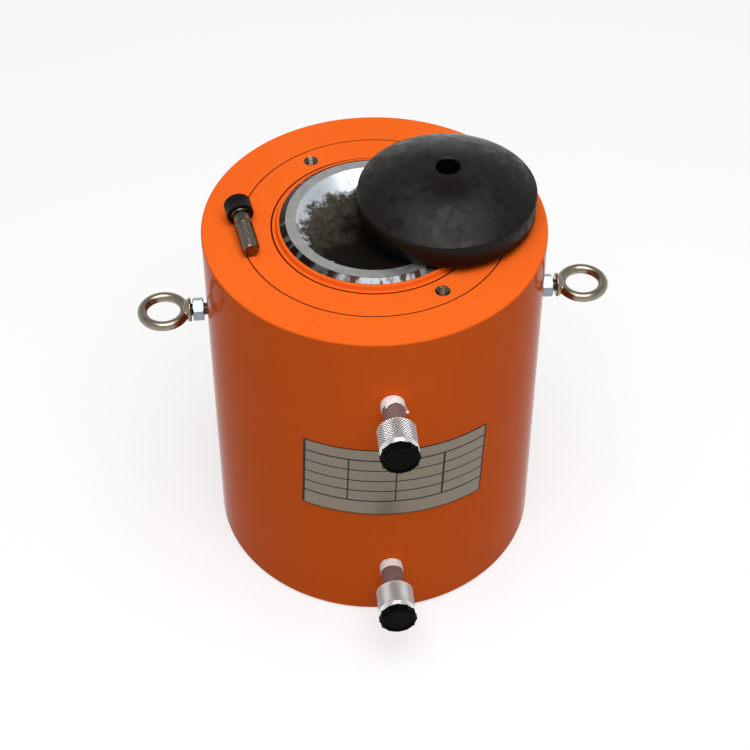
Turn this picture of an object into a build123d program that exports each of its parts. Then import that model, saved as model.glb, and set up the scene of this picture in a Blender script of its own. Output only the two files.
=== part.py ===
from build123d import *
import math
import os

# Double-acting hydraulic cylinder, large bore and short stroke, with its tilt saddle taken out.
# Millimetres. Origin at the centre of the base face, +Z along the rod, couplers on the -Y side.

# Working sizes that set the cylinder's class
BORE = 230.0
ROD_OD = 170.0
STROKE = 150.0

# Barrel
WALL = 40.0
FLOOR_THICKNESS = 60.0
BODY_BASE_CHAMFER = 3.0
BODY_TOP_CHAMFER = 1.2
BORE_FLOOR_CHAMFER = 2.0

# Base mounting holes
BASE_BOLT_CIRCLE = 190.0
BASE_BOLT_COUNT = 4
BASE_BOLT_HOLE = 14.0
BASE_BOLT_DEPTH = 32.0

# Gland, a threaded stop ring that also guides the rod
GLAND_THREAD_STEP = 5.0
GLAND_EDGE_CHAMFER = 1.0
THREAD_CLEARANCE = 0.05
SLIDE_CLEARANCE = 0.1
OIL_GAP = 2.0
SPANNER_HOLE = 12.0
SPANNER_HOLE_DEPTH = 22.0
SPANNER_ANGLE = 28.0
SPANNER_COUNT = 2

# Oil way through the gland to the retract side
GLAND_OIL_GROOVE_WIDTH = 16.0
GLAND_OIL_GROOVE_DEPTH = 4.0
GLAND_OIL_HOLE = 6.0
GLAND_OIL_HOLE_COUNT = 8

# Rod end
ROD_STANDOUT = 7.5
ROD_CHAMFER_WIDTH = 5.0
ROD_CHAMFER_HEIGHT = 3.0
ROD_RIM_WIDTH = 10.0
DISH_SPHERE = 130.0
ROD_THREAD_HOLE = 14.0
ROD_THREAD_DEPTH = 40.0
REST_GAP = 0.3
STROKE_END_GAP = 0.7

# Piston on the rod's spigot
PISTON_SKIRT_LENGTH = 13.0
PISTON_SKIRT_CUT = 8.0
PISTON_LAND = 3.0
PISTON_SKIRT_LAND = 2.0
PISTON_TOP_LAND = 6.4
SPIGOT = 120.0
SPIGOT_CHAMFER = 2.0
SPIGOT_RING_GROOVE_OFFSET = 8.0
LOCK_SCREW = 8.0
LOCK_SCREW_LENGTH = 14.0
LOCK_SCREW_SOCKET = 4.0
LOCK_SCREW_SOCKET_DEPTH = 5.0
LOCK_SCREW_SINK = 1.0
LOCK_SCREW_COUNT = 3

# Seals and guide bands, each in a groove a little longer than itself
SEAL_END_FLOAT = 0.2
BAND_THICKNESS = 3.0
BAND_WIDTH = 9.0
PISTON_SEAL_DEPTH = 8.0
PISTON_SEAL_WIDTH = 9.0
ROD_SEAL_DEPTH = 9.0
ROD_SEAL_WIDTH = 12.0
BACKUP_WIDTH = 2.5
SEAL_LIP_CUT = 5.0
WIPER_DEPTH = 7.0
WIPER_WIDTH = 7.0
WIPER_LIP_THICKNESS = 2.4
WIPER_LIP_FLARE = 1.2
WIPER_LIP_HEIGHT = 4.4
STATIC_RING_DEPTH = 4.4
STATIC_RING_WIRE = 4.6
GLAND_LAND = 4.0
GLAND_LOWER_LAND = 3.0
GLAND_TOP_LAND = 8.7

# Ports, one for each side of the piston
RETRACT_PORT_RISE = 23.2
ADVANCE_PORT_RISE = 8.0
PORT_THREAD = 17.1
PORT_THREAD_LENGTH = 13.0
PORT_TAPER = 1.0 / 32.0
PORT_EXTRA_DEPTH = 4.0
PORT_PASSAGE = 8.0
PORT_COUNTERSINK = 1.0
CUT_OVERRUN = 2.0

# Quick coupler half, measured outwards from the barrel's wall
NECK_OD = 20.0
NECK_LENGTH = 31.6
CHAMBER = 12.4
COUPLER_HEAD = 28.0
COUPLER_HEAD_LENGTH = 13.0
COUPLER_NOSE = 24.0
COUPLER_NOSE_LENGTH = 3.0
COLLAR_OD = 34.0
COLLAR_LENGTH = 28.4
COLLAR_FLANGE = 3.5
COLLAR_REAR_CHAMFER = 1.5
COLLAR_FRONT_CHAMFER = 1.8
COLLAR_CLEARANCE = 0.25
COLLAR_MOUTH = 30.0
COLLAR_STEP_SETBACK = 2.0
COLLAR_STEP_TAPER = 1.0
STOP_RING_WIRE = 2.2
STOP_RING_SINK = 0.7
TAPE_THICKNESS = 1.0
TAPE_LENGTH = 9.0
SEAT_CONE_LENGTH = 2.4
ORIFICE = 7.0
ORIFICE_LENGTH = 2.0
SOCKET = 15.0
SOCKET_DEPTH = 5.0
SOCKET_RING_WIRE = 1.8

# Poppet valve in the coupler
POPPET_TRAVEL = 3.0
POPPET_SEAT_GAP = 0.15
POPPET_LAND = 3.0
POPPET_GUIDE_CLEARANCE = 0.3
POPPET_STEM = 4.5
POPPET_STEM_STANDOUT = 1.0
POPPET_TAIL = 4.0
POPPET_STEM_EDGE = 0.5
SPRING_WIRE = 1.1
SPRING_COIL = 8.6
SPRING_TURNS = 7
SPRING_END_GAP = 0.1
RETAINER_THICKNESS = 3.0
RETAINER_SETBACK = 3.0
RETAINER_HOLE = 2.6
RETAINER_HOLE_COUNT = 4
RETAINER_BORE = 4.6

# Dust cap
CAP_RADIUS = 16.6
CAP_RIB = 1.0
CAP_RIB_COUNT = 12
CAP_RIB_WIDTH = 3.4
CAP_LENGTH = 7.2
CAP_EDGE = 1.2
CAP_FACE_RECESS = 0.8
CAP_FACE_RIM = 2.6
CAP_GAP = 0.4
CAP_PLUG_LENGTH = 5.5
CAP_PLUG_WALL = 2.0
CAP_FLOOR = 3.0

# Lifting eyes
EYE_DROP = 90.0
EYE_THREAD = 12.0
EYE_HOLE_DEPTH = 24.0
EYE_THREAD_ENGAGED = 20.0
EYE_TIP_CHAMFER = 1.0
EYE_COLLAR_STANDOUT = 14.5
EYE_COLLAR_OD = 22.5
EYE_COLLAR_EDGE = 1.0
EYE_NECK_OD = 15.0
EYE_NECK_LENGTH = 7.0
EYE_RING_INNER = 30.0
EYE_RING_WIRE = 9.2
EYE_RING_OVERLAP = 1.2
NUT_FLATS = 19.0
NUT_HEIGHT = 10.0
NUT_STANDOUT_LEFT = 3.0
NUT_STANDOUT_RIGHT = 1.2
NUT_CORNER_CHAMFER = 1.0
NUT_CORNER_MARGIN = 0.2

# Data plate, a thin curved sheet held on the wall a little askew
PLATE_ANGLE_FROM = -30.3
PLATE_ANGLE_TO = 33.8
PLATE_TOP_DROP = 131.0
PLATE_HEIGHT = 84.0
PLATE_THICKNESS = 0.6
PLATE_GLUE = 0.05
PLATE_SKEW = 1.2

# Saddle, lying upside down on the rod's rim, and its screw, lying on the top face
SADDLE_OD = 160.0
SADDLE_WALL = 22.0
SADDLE_HOLE = 22.0
SADDLE_HOLE_CHAMFER = 1.0
SADDLE_COUNTERBORE = 28.0
SADDLE_COUNTERBORE_DEPTH = 19.0
SADDLE_EDGE = 0.8
SADDLE_GROOVE_COUNT = 5
SADDLE_GROOVE_PITCH = 11.0
SADDLE_GROOVE_DEPTH = 1.0
SADDLE_INSET = 19.4
SADDLE_BEARING = 4.6
LAY_GAP = 0.1
SCREW_THREAD = 16.0
SCREW_LENGTH = 45.0
SCREW_HEAD_OD = 24.0
SCREW_HEAD_HEIGHT = 16.0
SCREW_SOCKET_FLATS = 14.0
SCREW_SOCKET_DEPTH = 8.0
SCREW_HEAD_EDGE = 1.2
SCREW_TIP_CHAMFER = 1.5
SCREW_INSET = 1.0
SCREW_BEARING = 175.4
SCREW_HEADING = 9.2

# Radii worked out from the driving dimensions
BORE_R = BORE / 2
BODY_R = BORE_R + WALL
ROD_R = ROD_OD / 2
THREAD_R = BORE_R + GLAND_THREAD_STEP
SPANNER_R = (ROD_R + WIPER_DEPTH + THREAD_R) / 2
DISH_R = ROD_R - ROD_CHAMFER_WIDTH - ROD_RIM_WIDTH
DISH_RISE = math.sqrt(DISH_SPHERE**2 - DISH_R**2)
DISH_DEPTH = DISH_SPHERE - DISH_RISE

# Levels of the piston and its rings, stacked up from the bore's floor
PISTON_BOTTOM = FLOOR_THICKNESS + REST_GAP
BAND_GROOVE = BAND_WIDTH + SEAL_END_FLOAT
PISTON_BAND_1 = PISTON_BOTTOM + PISTON_SKIRT_LENGTH + PISTON_SKIRT_LAND
PISTON_SEAL_Z = PISTON_BAND_1 + BAND_GROOVE + PISTON_LAND
PISTON_BAND_2 = PISTON_SEAL_Z + PISTON_SEAL_WIDTH + SEAL_END_FLOAT + PISTON_LAND
PISTON_TOP = PISTON_BAND_2 + BAND_GROOVE + PISTON_TOP_LAND

# Levels of the gland and its rings, stacked up from where the piston stops
GLAND_BOTTOM = PISTON_TOP + STROKE + STROKE_END_GAP
OIL_HOLE_Z = GLAND_BOTTOM + RETRACT_PORT_RISE
OIL_GROOVE_TOP = OIL_HOLE_Z + GLAND_OIL_GROOVE_WIDTH / 2
OIL_GAP_TOP = OIL_GROOVE_TOP + GLAND_LOWER_LAND
GUIDE_BAND_1 = OIL_GAP_TOP + GLAND_LOWER_LAND
ROD_SEAL_Z = GUIDE_BAND_1 + BAND_GROOVE + GLAND_LAND
ROD_BACKUP_Z = ROD_SEAL_Z + ROD_SEAL_WIDTH
GUIDE_BAND_2 = ROD_BACKUP_Z + BACKUP_WIDTH + SEAL_END_FLOAT + GLAND_LAND
WIPER_Z = GUIDE_BAND_2 + BAND_GROOVE + GLAND_TOP_LAND
STATIC_RING_Z = OIL_GROOVE_TOP + GLAND_LAND
STATIC_GROOVE_TOP = STATIC_RING_Z + STATIC_RING_WIRE + BACKUP_WIDTH + SEAL_END_FLOAT
THREAD_BOTTOM = STATIC_GROOVE_TOP + GLAND_LAND
BODY_HEIGHT = WIPER_Z + WIPER_WIDTH
ROD_TOP = BODY_HEIGHT + ROD_STANDOUT
EYE_Z = BODY_HEIGHT - EYE_DROP
PORT_HEIGHTS = {"upper": OIL_HOLE_Z, "lower": FLOOR_THICKNESS + ADVANCE_PORT_RISE}

ON_BASE = (Align.CENTER, Align.CENTER, Align.MIN)
os.makedirs("parts", exist_ok=True)


def save(shape, node):
    """Write one named piece as its own STEP file."""
    export_step(shape, f"parts/{node}.step")


def turned(points):
    """Revolve a closed outline of (radius, height) corners round the Z axis."""
    outline = Polyline(*[(r, 0, z) for r, z in points], close=True)
    return revolve(make_face(outline), Axis.Z)


def ring(inner_r, outer_r, low_z, high_z):
    """A plain ring of rectangular section."""
    return turned([(inner_r, low_z), (outer_r, low_z), (outer_r, high_z), (inner_r, high_z)])


def disc(radius, low_z, high_z):
    """A plain solid disc or rod on the Z axis."""
    return Pos(0, 0, low_z) * Cylinder(radius, high_z - low_z, align=ON_BASE)


def cone(low_r, high_r, low_z, high_z):
    """A truncated cone on the Z axis."""
    return Pos(0, 0, low_z) * Cone(low_r, high_r, high_z - low_z, align=ON_BASE)


def o_ring(centre_r, wire, z):
    """A round-section ring on the Z axis."""
    return Pos(0, 0, z) * Torus(centre_r, wire / 2)


def outward(port_z):
    """Turn a piece drawn along +Z so that it stands out of the wall at -Y, at a port's height."""
    return Pos(0, -BODY_R, port_z) * Rot(90, 0, 0)


def port_cut(port_z):
    """Tapered thread hole, countersink and oil passage of one port."""
    depth = PORT_THREAD_LENGTH + PORT_EXTRA_DEPTH
    mouth_r = PORT_THREAD / 2 + THREAD_CLEARANCE
    hole = cone(mouth_r - depth * PORT_TAPER, mouth_r, -depth, 0)
    lip = cone(mouth_r, mouth_r + PORT_COUNTERSINK, -PORT_COUNTERSINK, 0)
    passage = disc(PORT_PASSAGE / 2, -WALL - CUT_OVERRUN, CUT_OVERRUN - depth)
    start = disc(mouth_r + PORT_COUNTERSINK, 0, CUT_OVERRUN)
    return outward(port_z) * (hole + lip + passage + start)


def cylinder_body():
    shell = turned([
        (0, 0),
        (BODY_R - BODY_BASE_CHAMFER, 0),
        (BODY_R, BODY_BASE_CHAMFER),
        (BODY_R, BODY_HEIGHT - BODY_TOP_CHAMFER),
        (BODY_R - BODY_TOP_CHAMFER, BODY_HEIGHT),
        (THREAD_R + GLAND_EDGE_CHAMFER, BODY_HEIGHT),
        (THREAD_R, BODY_HEIGHT - GLAND_EDGE_CHAMFER),
        (THREAD_R, THREAD_BOTTOM),
        (BORE_R, THREAD_BOTTOM),
        (BORE_R, FLOOR_THICKNESS + BORE_FLOOR_CHAMFER),
        (BORE_R - BORE_FLOOR_CHAMFER, FLOOR_THICKNESS),
        (0, FLOOR_THICKNESS),
    ])
    for port_z in PORT_HEIGHTS.values():
        shell -= port_cut(port_z)
    hole = disc(BASE_BOLT_HOLE / 2, 0, BASE_BOLT_DEPTH)
    for spot in PolarLocations(BASE_BOLT_CIRCLE / 2, BASE_BOLT_COUNT, start_angle=45):
        shell -= spot * hole
    eye_hole = disc(EYE_THREAD / 2 + THREAD_CLEARANCE, -EYE_HOLE_DEPTH, 1)
    for side in (-90, 90):
        shell -= Pos(side / 90 * BODY_R, 0, EYE_Z) * Rot(0, side, 0) * eye_hole
    return shell


def gland_nut():
    nose_r = BORE_R - SLIDE_CLEARANCE
    thread_r = THREAD_R - THREAD_CLEARANCE
    guide_r = ROD_R + SLIDE_CLEARANCE
    blank = turned([
        (ROD_R + OIL_GAP, GLAND_BOTTOM),
        (nose_r - GLAND_EDGE_CHAMFER, GLAND_BOTTOM),
        (nose_r, GLAND_BOTTOM + GLAND_EDGE_CHAMFER),
        (nose_r, THREAD_BOTTOM),
        (thread_r, THREAD_BOTTOM),
        (thread_r, BODY_HEIGHT - GLAND_EDGE_CHAMFER),
        (thread_r - GLAND_EDGE_CHAMFER, BODY_HEIGHT),
        (guide_r, BODY_HEIGHT),
        (guide_r, OIL_GAP_TOP),
        (ROD_R + OIL_GAP, OIL_GAP_TOP),
    ])
    band_r = ROD_R + BAND_THICKNESS
    seal_r = ROD_R + ROD_SEAL_DEPTH
    for z in (GUIDE_BAND_1, GUIDE_BAND_2):
        blank -= ring(ROD_R, band_r, z, z + BAND_GROOVE)
    blank -= ring(ROD_R, seal_r, ROD_SEAL_Z, ROD_BACKUP_Z + BACKUP_WIDTH + SEAL_END_FLOAT)
    blank -= ring(ROD_R, ROD_R + WIPER_DEPTH, WIPER_Z, BODY_HEIGHT + 1)
    blank -= ring(BORE_R - STATIC_RING_DEPTH, BORE_R + 1, STATIC_RING_Z, STATIC_GROOVE_TOP)
    oil_floor_r = BORE_R - GLAND_OIL_GROOVE_DEPTH
    blank -= ring(oil_floor_r, BORE_R + 1, OIL_GROOVE_TOP - GLAND_OIL_GROOVE_WIDTH, OIL_GROOVE_TOP)
    cross_hole = Rot(0, 90, 0) * disc(GLAND_OIL_HOLE / 2, ROD_R, BORE_R)
    for turn in range(GLAND_OIL_HOLE_COUNT):
        blank -= Pos(0, 0, OIL_HOLE_Z) * Rot(0, 0, turn * 360 / GLAND_OIL_HOLE_COUNT) * cross_hole
    hole = disc(SPANNER_HOLE / 2, BODY_HEIGHT - SPANNER_HOLE_DEPTH, BODY_HEIGHT)
    for spot in PolarLocations(SPANNER_R, SPANNER_COUNT, start_angle=SPANNER_ANGLE - 90):
        blank -= spot * hole
    return blank


def gland_seals():
    """The rings that the gland carries, inside round the rod and outside against the bore."""
    rod_fit = ROD_R + SLIDE_CLEARANCE / 2
    band = ring(rod_fit, ROD_R + BAND_THICKNESS - SLIDE_CLEARANCE / 2, 0, BAND_WIDTH)
    save(Pos(0, 0, GUIDE_BAND_1) * band + Pos(0, 0, GUIDE_BAND_2) * band, "rod_guide_bands")
    outer = ROD_R + ROD_SEAL_DEPTH - SLIDE_CLEARANCE
    middle = (rod_fit + outer) / 2
    top = ROD_BACKUP_Z - SLIDE_CLEARANCE
    save(
        turned([
            (rod_fit, ROD_SEAL_Z + SLIDE_CLEARANCE),
            (middle, ROD_SEAL_Z + SEAL_LIP_CUT),
            (outer, ROD_SEAL_Z + SLIDE_CLEARANCE),
            (outer, top),
            (rod_fit, top),
        ]),
        "rod_seal",
    )
    save(ring(rod_fit, outer, ROD_BACKUP_Z, ROD_BACKUP_Z + BACKUP_WIDTH), "rod_seal_backup_ring")
    lip_top = BODY_HEIGHT + WIPER_LIP_HEIGHT
    wiper_outer = ROD_R + WIPER_DEPTH - SLIDE_CLEARANCE
    save(
        turned([
            (rod_fit, WIPER_Z + SLIDE_CLEARANCE),
            (wiper_outer, WIPER_Z + SLIDE_CLEARANCE),
            (wiper_outer, BODY_HEIGHT),
            (rod_fit + WIPER_LIP_THICKNESS + WIPER_LIP_FLARE, BODY_HEIGHT),
            (rod_fit + WIPER_LIP_THICKNESS, lip_top - WIPER_LIP_FLARE / 2),
            (rod_fit + WIPER_LIP_THICKNESS - WIPER_LIP_FLARE / 2, lip_top),
            (rod_fit, lip_top),
        ]),
        "rod_wiper",
    )
    groove_floor = BORE_R - STATIC_RING_DEPTH
    wire = STATIC_RING_DEPTH - SLIDE_CLEARANCE
    centre_z = STATIC_RING_Z + STATIC_RING_WIRE / 2
    save(o_ring(groove_floor + STATIC_RING_DEPTH / 2, wire, centre_z), "gland_o_ring")
    low = STATIC_RING_Z + STATIC_RING_WIRE
    backup = ring(groove_floor + SLIDE_CLEARANCE, BORE_R - SLIDE_CLEARANCE, low, low + BACKUP_WIDTH)
    save(backup, "gland_backup_ring")


def plunger_rod():
    spigot_r = SPIGOT / 2
    rod = turned([
        (0, PISTON_BOTTOM),
        (spigot_r - SPIGOT_CHAMFER, PISTON_BOTTOM),
        (spigot_r, PISTON_BOTTOM + SPIGOT_CHAMFER),
        (spigot_r, PISTON_TOP),
        (ROD_R, PISTON_TOP),
        (ROD_R, ROD_TOP - ROD_CHAMFER_HEIGHT),
        (ROD_R - ROD_CHAMFER_WIDTH, ROD_TOP),
        (0, ROD_TOP),
    ])
    rod -= Pos(0, 0, ROD_TOP + DISH_RISE) * Sphere(DISH_SPHERE)
    dish_floor = ROD_TOP - DISH_DEPTH
    rod -= disc(ROD_THREAD_HOLE / 2, dish_floor - ROD_THREAD_DEPTH, ROD_TOP)
    groove_z = PISTON_TOP - SPIGOT_RING_GROOVE_OFFSET
    half = STATIC_RING_WIRE / 2 + SEAL_END_FLOAT
    rod -= ring(spigot_r - STATIC_RING_DEPTH, spigot_r + 1, groove_z - half, groove_z + half)
    return rod - lock_screw_holes()


def lock_screw_holes():
    """Blind holes on the joint line between spigot and piston, opened from below."""
    hole = disc(LOCK_SCREW / 2, PISTON_BOTTOM, PISTON_BOTTOM + LOCK_SCREW_SINK + LOCK_SCREW_LENGTH)
    spots = PolarLocations(SPIGOT / 2, LOCK_SCREW_COUNT)
    return Compound([spot * hole for spot in spots])


def lock_screws():
    low = PISTON_BOTTOM + LOCK_SCREW_SINK
    screw = disc(LOCK_SCREW / 2 - THREAD_CLEARANCE, low, low + LOCK_SCREW_LENGTH - THREAD_CLEARANCE)
    socket = extrude(RegularPolygon(LOCK_SCREW_SOCKET / 2, 6, major_radius=False), LOCK_SCREW_SOCKET_DEPTH)
    screw -= Pos(0, 0, low) * socket
    return Compound([spot * screw for spot in PolarLocations(SPIGOT / 2, LOCK_SCREW_COUNT)])


def piston():
    outer = BORE_R - SLIDE_CLEARANCE * 1.5
    inner = SPIGOT / 2 + THREAD_CLEARANCE
    skirt_top = PISTON_BOTTOM + PISTON_SKIRT_LENGTH
    skirt_r = outer - PISTON_SKIRT_CUT
    body = turned([
        (inner, PISTON_BOTTOM),
        (skirt_r, PISTON_BOTTOM),
        (skirt_r, skirt_top - GLAND_EDGE_CHAMFER),
        (outer, skirt_top),
        (outer, PISTON_TOP - GLAND_EDGE_CHAMFER),
        (outer - GLAND_EDGE_CHAMFER, PISTON_TOP),
        (inner, PISTON_TOP),
    ])
    for z in (PISTON_BAND_1, PISTON_BAND_2):
        body -= ring(BORE_R - BAND_THICKNESS, BORE_R, z, z + BAND_GROOVE)
    seal_top = PISTON_SEAL_Z + PISTON_SEAL_WIDTH + SEAL_END_FLOAT
    body -= ring(BORE_R - PISTON_SEAL_DEPTH, BORE_R, PISTON_SEAL_Z, seal_top)
    return body - lock_screw_holes()


def piston_seals():
    """Guide bands and the two-part seal on the piston, and the static ring on the spigot."""
    bore_fit = BORE_R - SLIDE_CLEARANCE / 2
    band = ring(BORE_R - BAND_THICKNESS + SLIDE_CLEARANCE / 2, bore_fit, 0, BAND_WIDTH)
    save(Pos(0, 0, PISTON_BAND_1) * band + Pos(0, 0, PISTON_BAND_2) * band, "piston_wear_rings")
    inner = BORE_R - PISTON_SEAL_DEPTH + SLIDE_CLEARANCE
    notch = PISTON_SEAL_WIDTH / 4
    save(
        turned([
            (inner, PISTON_SEAL_Z),
            (bore_fit - notch, PISTON_SEAL_Z),
            (bore_fit, PISTON_SEAL_Z + notch),
            (bore_fit, PISTON_SEAL_Z + PISTON_SEAL_WIDTH - notch),
            (bore_fit - notch, PISTON_SEAL_Z + PISTON_SEAL_WIDTH),
            (inner, PISTON_SEAL_Z + PISTON_SEAL_WIDTH),
        ]),
        "piston_seal",
    )
    wire = STATIC_RING_DEPTH - SLIDE_CLEARANCE
    centre_r = SPIGOT / 2 - STATIC_RING_DEPTH / 2
    save(o_ring(centre_r, wire, PISTON_TOP - SPIGOT_RING_GROOVE_OFFSET), "piston_o_ring")


def saddle():
    """Convex tilt face up, grooved load face down on the rod's rim."""
    outer = SADDLE_OD / 2
    low = ROD_TOP + LAY_GAP
    rim = low + SADDLE_WALL
    ball_z = rim - math.sqrt(DISH_SPHERE**2 - outer**2)
    puck = disc(outer, low, ball_z + DISH_SPHERE)
    puck = puck & (Pos(0, 0, ball_z) * Sphere(DISH_SPHERE))
    puck -= ring(outer - SADDLE_EDGE, outer + 1, low - 1, low + SADDLE_EDGE)
    crown = ball_z + math.sqrt(DISH_SPHERE**2 - (SADDLE_HOLE / 2 + SADDLE_HOLE_CHAMFER) ** 2)
    puck -= disc(SADDLE_HOLE / 2, low, ball_z + DISH_SPHERE)
    chamfer_low = crown - SADDLE_HOLE_CHAMFER
    chamfer_high = crown + SADDLE_HOLE_CHAMFER
    puck -= cone(SADDLE_HOLE / 2, SADDLE_HOLE / 2 + 2 * SADDLE_HOLE_CHAMFER, chamfer_low, chamfer_high)
    puck -= disc(SADDLE_COUNTERBORE / 2, low, low + SADDLE_COUNTERBORE_DEPTH)
    half = SADDLE_GROOVE_DEPTH
    groove_top = low + SADDLE_GROOVE_DEPTH
    for index in range(SADDLE_GROOVE_COUNT):
        r = SADDLE_COUNTERBORE / 2 + (index + 1) * SADDLE_GROOVE_PITCH
        puck -= turned([(r - half, low), (r + half, low), (r, groove_top)])
    return Rot(0, 0, SADDLE_BEARING) * Pos(ROD_R - SADDLE_INSET, 0, 0) * puck


def saddle_screw():
    """Socket head screw lying on the head's front edge and on the tip's edge."""
    head_r = SCREW_HEAD_OD / 2
    shank_r = SCREW_THREAD / 2
    tip_r = shank_r - SCREW_TIP_CHAMFER
    screw = turned([
        (0, -SCREW_HEAD_HEIGHT),
        (head_r - SCREW_HEAD_EDGE, -SCREW_HEAD_HEIGHT),
        (head_r, -SCREW_HEAD_HEIGHT + SCREW_HEAD_EDGE),
        (head_r, 0),
        (shank_r, 0),
        (shank_r, SCREW_LENGTH - SCREW_TIP_CHAMFER),
        (tip_r, SCREW_LENGTH),
        (0, SCREW_LENGTH),
    ])
    socket = extrude(RegularPolygon(SCREW_SOCKET_FLATS / 2, 6, major_radius=False), SCREW_SOCKET_DEPTH)
    screw -= Pos(0, 0, -SCREW_HEAD_HEIGHT) * socket
    dip = math.atan2(head_r - shank_r, SCREW_LENGTH - SCREW_TIP_CHAMFER)
    height = BODY_HEIGHT + LAY_GAP + head_r * math.cos(dip)
    lying = Rot(0, 0, SCREW_HEADING) * Rot(90 + math.degrees(dip), 0, 0) * screw
    spot = Vector(THREAD_R - SCREW_INSET, 0, height).rotate(Axis.Z, SCREW_BEARING)
    return Pos(spot) * lying


def eye_bolt():
    """Lifting eye drawn along +Z from the barrel's wall, its ring lying in the YZ plane."""
    shank_r = EYE_THREAD / 2
    collar_low = EYE_COLLAR_STANDOUT
    collar_high = collar_low + EYE_NECK_LENGTH
    stem = turned([
        (0, -EYE_THREAD_ENGAGED),
        (shank_r - EYE_TIP_CHAMFER, -EYE_THREAD_ENGAGED),
        (shank_r, EYE_TIP_CHAMFER - EYE_THREAD_ENGAGED),
        (shank_r, collar_low),
        (EYE_COLLAR_OD / 2 - EYE_COLLAR_EDGE, collar_low),
        (EYE_COLLAR_OD / 2, collar_low + EYE_COLLAR_EDGE),
        (EYE_COLLAR_OD / 2 - EYE_COLLAR_EDGE, collar_low + 3 * EYE_COLLAR_EDGE),
        (EYE_NECK_OD / 2, collar_high),
        (0, collar_high),
    ])
    centre_r = (EYE_RING_INNER + EYE_RING_WIRE) / 2
    outer_r = EYE_RING_INNER / 2 + EYE_RING_WIRE
    ring_z = collar_low + EYE_RING_OVERLAP + outer_r
    hoop = Pos(0, 0, ring_z) * Rot(0, 90, 0) * Torus(centre_r, EYE_RING_WIRE / 2)
    stem -= Pos(0, 0, ring_z) * Rot(0, 90, 0) * Cylinder(centre_r, EYE_COLLAR_OD)
    return hoop + stem


def hex_nut():
    """Hexagon nut with chamfered corners, drawn from Z = 0 upwards."""
    blank = extrude(RegularPolygon(NUT_FLATS / 2, 6, major_radius=False), NUT_HEIGHT)
    corner_r = NUT_FLATS / 2 / math.cos(math.pi / 6) + NUT_CORNER_MARGIN
    edge_r = NUT_FLATS / 2
    envelope = turned([
        (0, 0),
        (edge_r, 0),
        (corner_r, NUT_CORNER_CHAMFER),
        (corner_r, NUT_HEIGHT - NUT_CORNER_CHAMFER),
        (edge_r, NUT_HEIGHT),
        (0, NUT_HEIGHT),
    ])
    return (blank & envelope) - disc(EYE_THREAD / 2 + THREAD_CLEARANCE, 0, NUT_HEIGHT)


def data_plate():
    """Thin sheet curved to the barrel, cut out by a slab that leans by the plate's skew."""
    inner_r = BODY_R + PLATE_GLUE
    outer_r = inner_r + PLATE_THICKNESS
    top = BODY_HEIGHT - PLATE_TOP_DROP
    middle_z = top - PLATE_HEIGHT / 2
    sleeve = ring(inner_r, outer_r, top - 2 * PLATE_HEIGHT, top + PLATE_HEIGHT)
    middle_angle = (PLATE_ANGLE_FROM + PLATE_ANGLE_TO) / 2
    half_width = outer_r * math.sin(math.radians((PLATE_ANGLE_TO - PLATE_ANGLE_FROM) / 2))
    cutter = Rot(0, PLATE_SKEW, 0) * Pos(0, -BODY_R, 0) * Box(2 * half_width, BODY_R, PLATE_HEIGHT)
    return sleeve & (Rot(0, 0, middle_angle) * Pos(0, 0, middle_z) * cutter)


# Stations along the coupler, from the wall outwards
COLLAR_BACK = NECK_LENGTH
COLLAR_FRONT = NECK_LENGTH + COLLAR_LENGTH
HEAD_BACK = COLLAR_BACK + COLLAR_FLANGE + COLLAR_CLEARANCE
HEAD_FRONT = HEAD_BACK + COUPLER_HEAD_LENGTH
NOSE_FRONT = HEAD_FRONT + COUPLER_NOSE_LENGTH
SOCKET_FLOOR = NOSE_FRONT - SOCKET_DEPTH
SEAT_FRONT = SOCKET_FLOOR - ORIFICE_LENGTH
SEAT_BACK = SEAT_FRONT - SEAT_CONE_LENGTH
RETAINER_FRONT = -PORT_THREAD_LENGTH + RETAINER_SETBACK + RETAINER_THICKNESS
SPRING_BACK = RETAINER_FRONT + SPRING_END_GAP
POPPET_FRONT = SEAT_BACK - POPPET_SEAT_GAP
POPPET_BACK = POPPET_FRONT - POPPET_LAND
CAP_BACK = COLLAR_FRONT + CAP_GAP
CAP_FRONT = CAP_BACK + CAP_LENGTH


def coupler_body():
    """Round neck with a tapered thread, a head for the collar, and a bored valve chamber."""
    thread_r = PORT_THREAD / 2
    thread_end_r = thread_r - PORT_THREAD_LENGTH * PORT_TAPER
    shape = turned([
        (0, -PORT_THREAD_LENGTH),
        (thread_end_r, -PORT_THREAD_LENGTH),
        (thread_r, 0),
        (NECK_OD / 2, NECK_OD / 2 - thread_r),
        (NECK_OD / 2, HEAD_BACK),
        (COUPLER_HEAD / 2, HEAD_BACK),
        (COUPLER_HEAD / 2, HEAD_FRONT),
        (COUPLER_NOSE / 2, HEAD_FRONT),
        (COUPLER_NOSE / 2, NOSE_FRONT),
        (0, NOSE_FRONT),
    ])
    shape -= turned([
        (0, -PORT_THREAD_LENGTH),
        (CHAMBER / 2, -PORT_THREAD_LENGTH),
        (CHAMBER / 2, SEAT_BACK),
        (ORIFICE / 2, SEAT_FRONT),
        (ORIFICE / 2, SOCKET_FLOOR),
        (SOCKET / 2, SOCKET_FLOOR),
        (SOCKET / 2, NOSE_FRONT),
        (0, NOSE_FRONT),
    ])
    shape -= o_ring(SOCKET / 2 + SOCKET_RING_WIRE / 4, SOCKET_RING_WIRE, SOCKET_FLOOR + SOCKET_DEPTH / 2)
    shape -= o_ring(NECK_OD / 2 - STOP_RING_SINK + STOP_RING_WIRE / 2, STOP_RING_WIRE, stop_ring_station())
    return shape


def stop_ring_station():
    """The wire ring lies just behind the collar."""
    return COLLAR_BACK - COLLAR_CLEARANCE - STOP_RING_WIRE / 2


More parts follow.
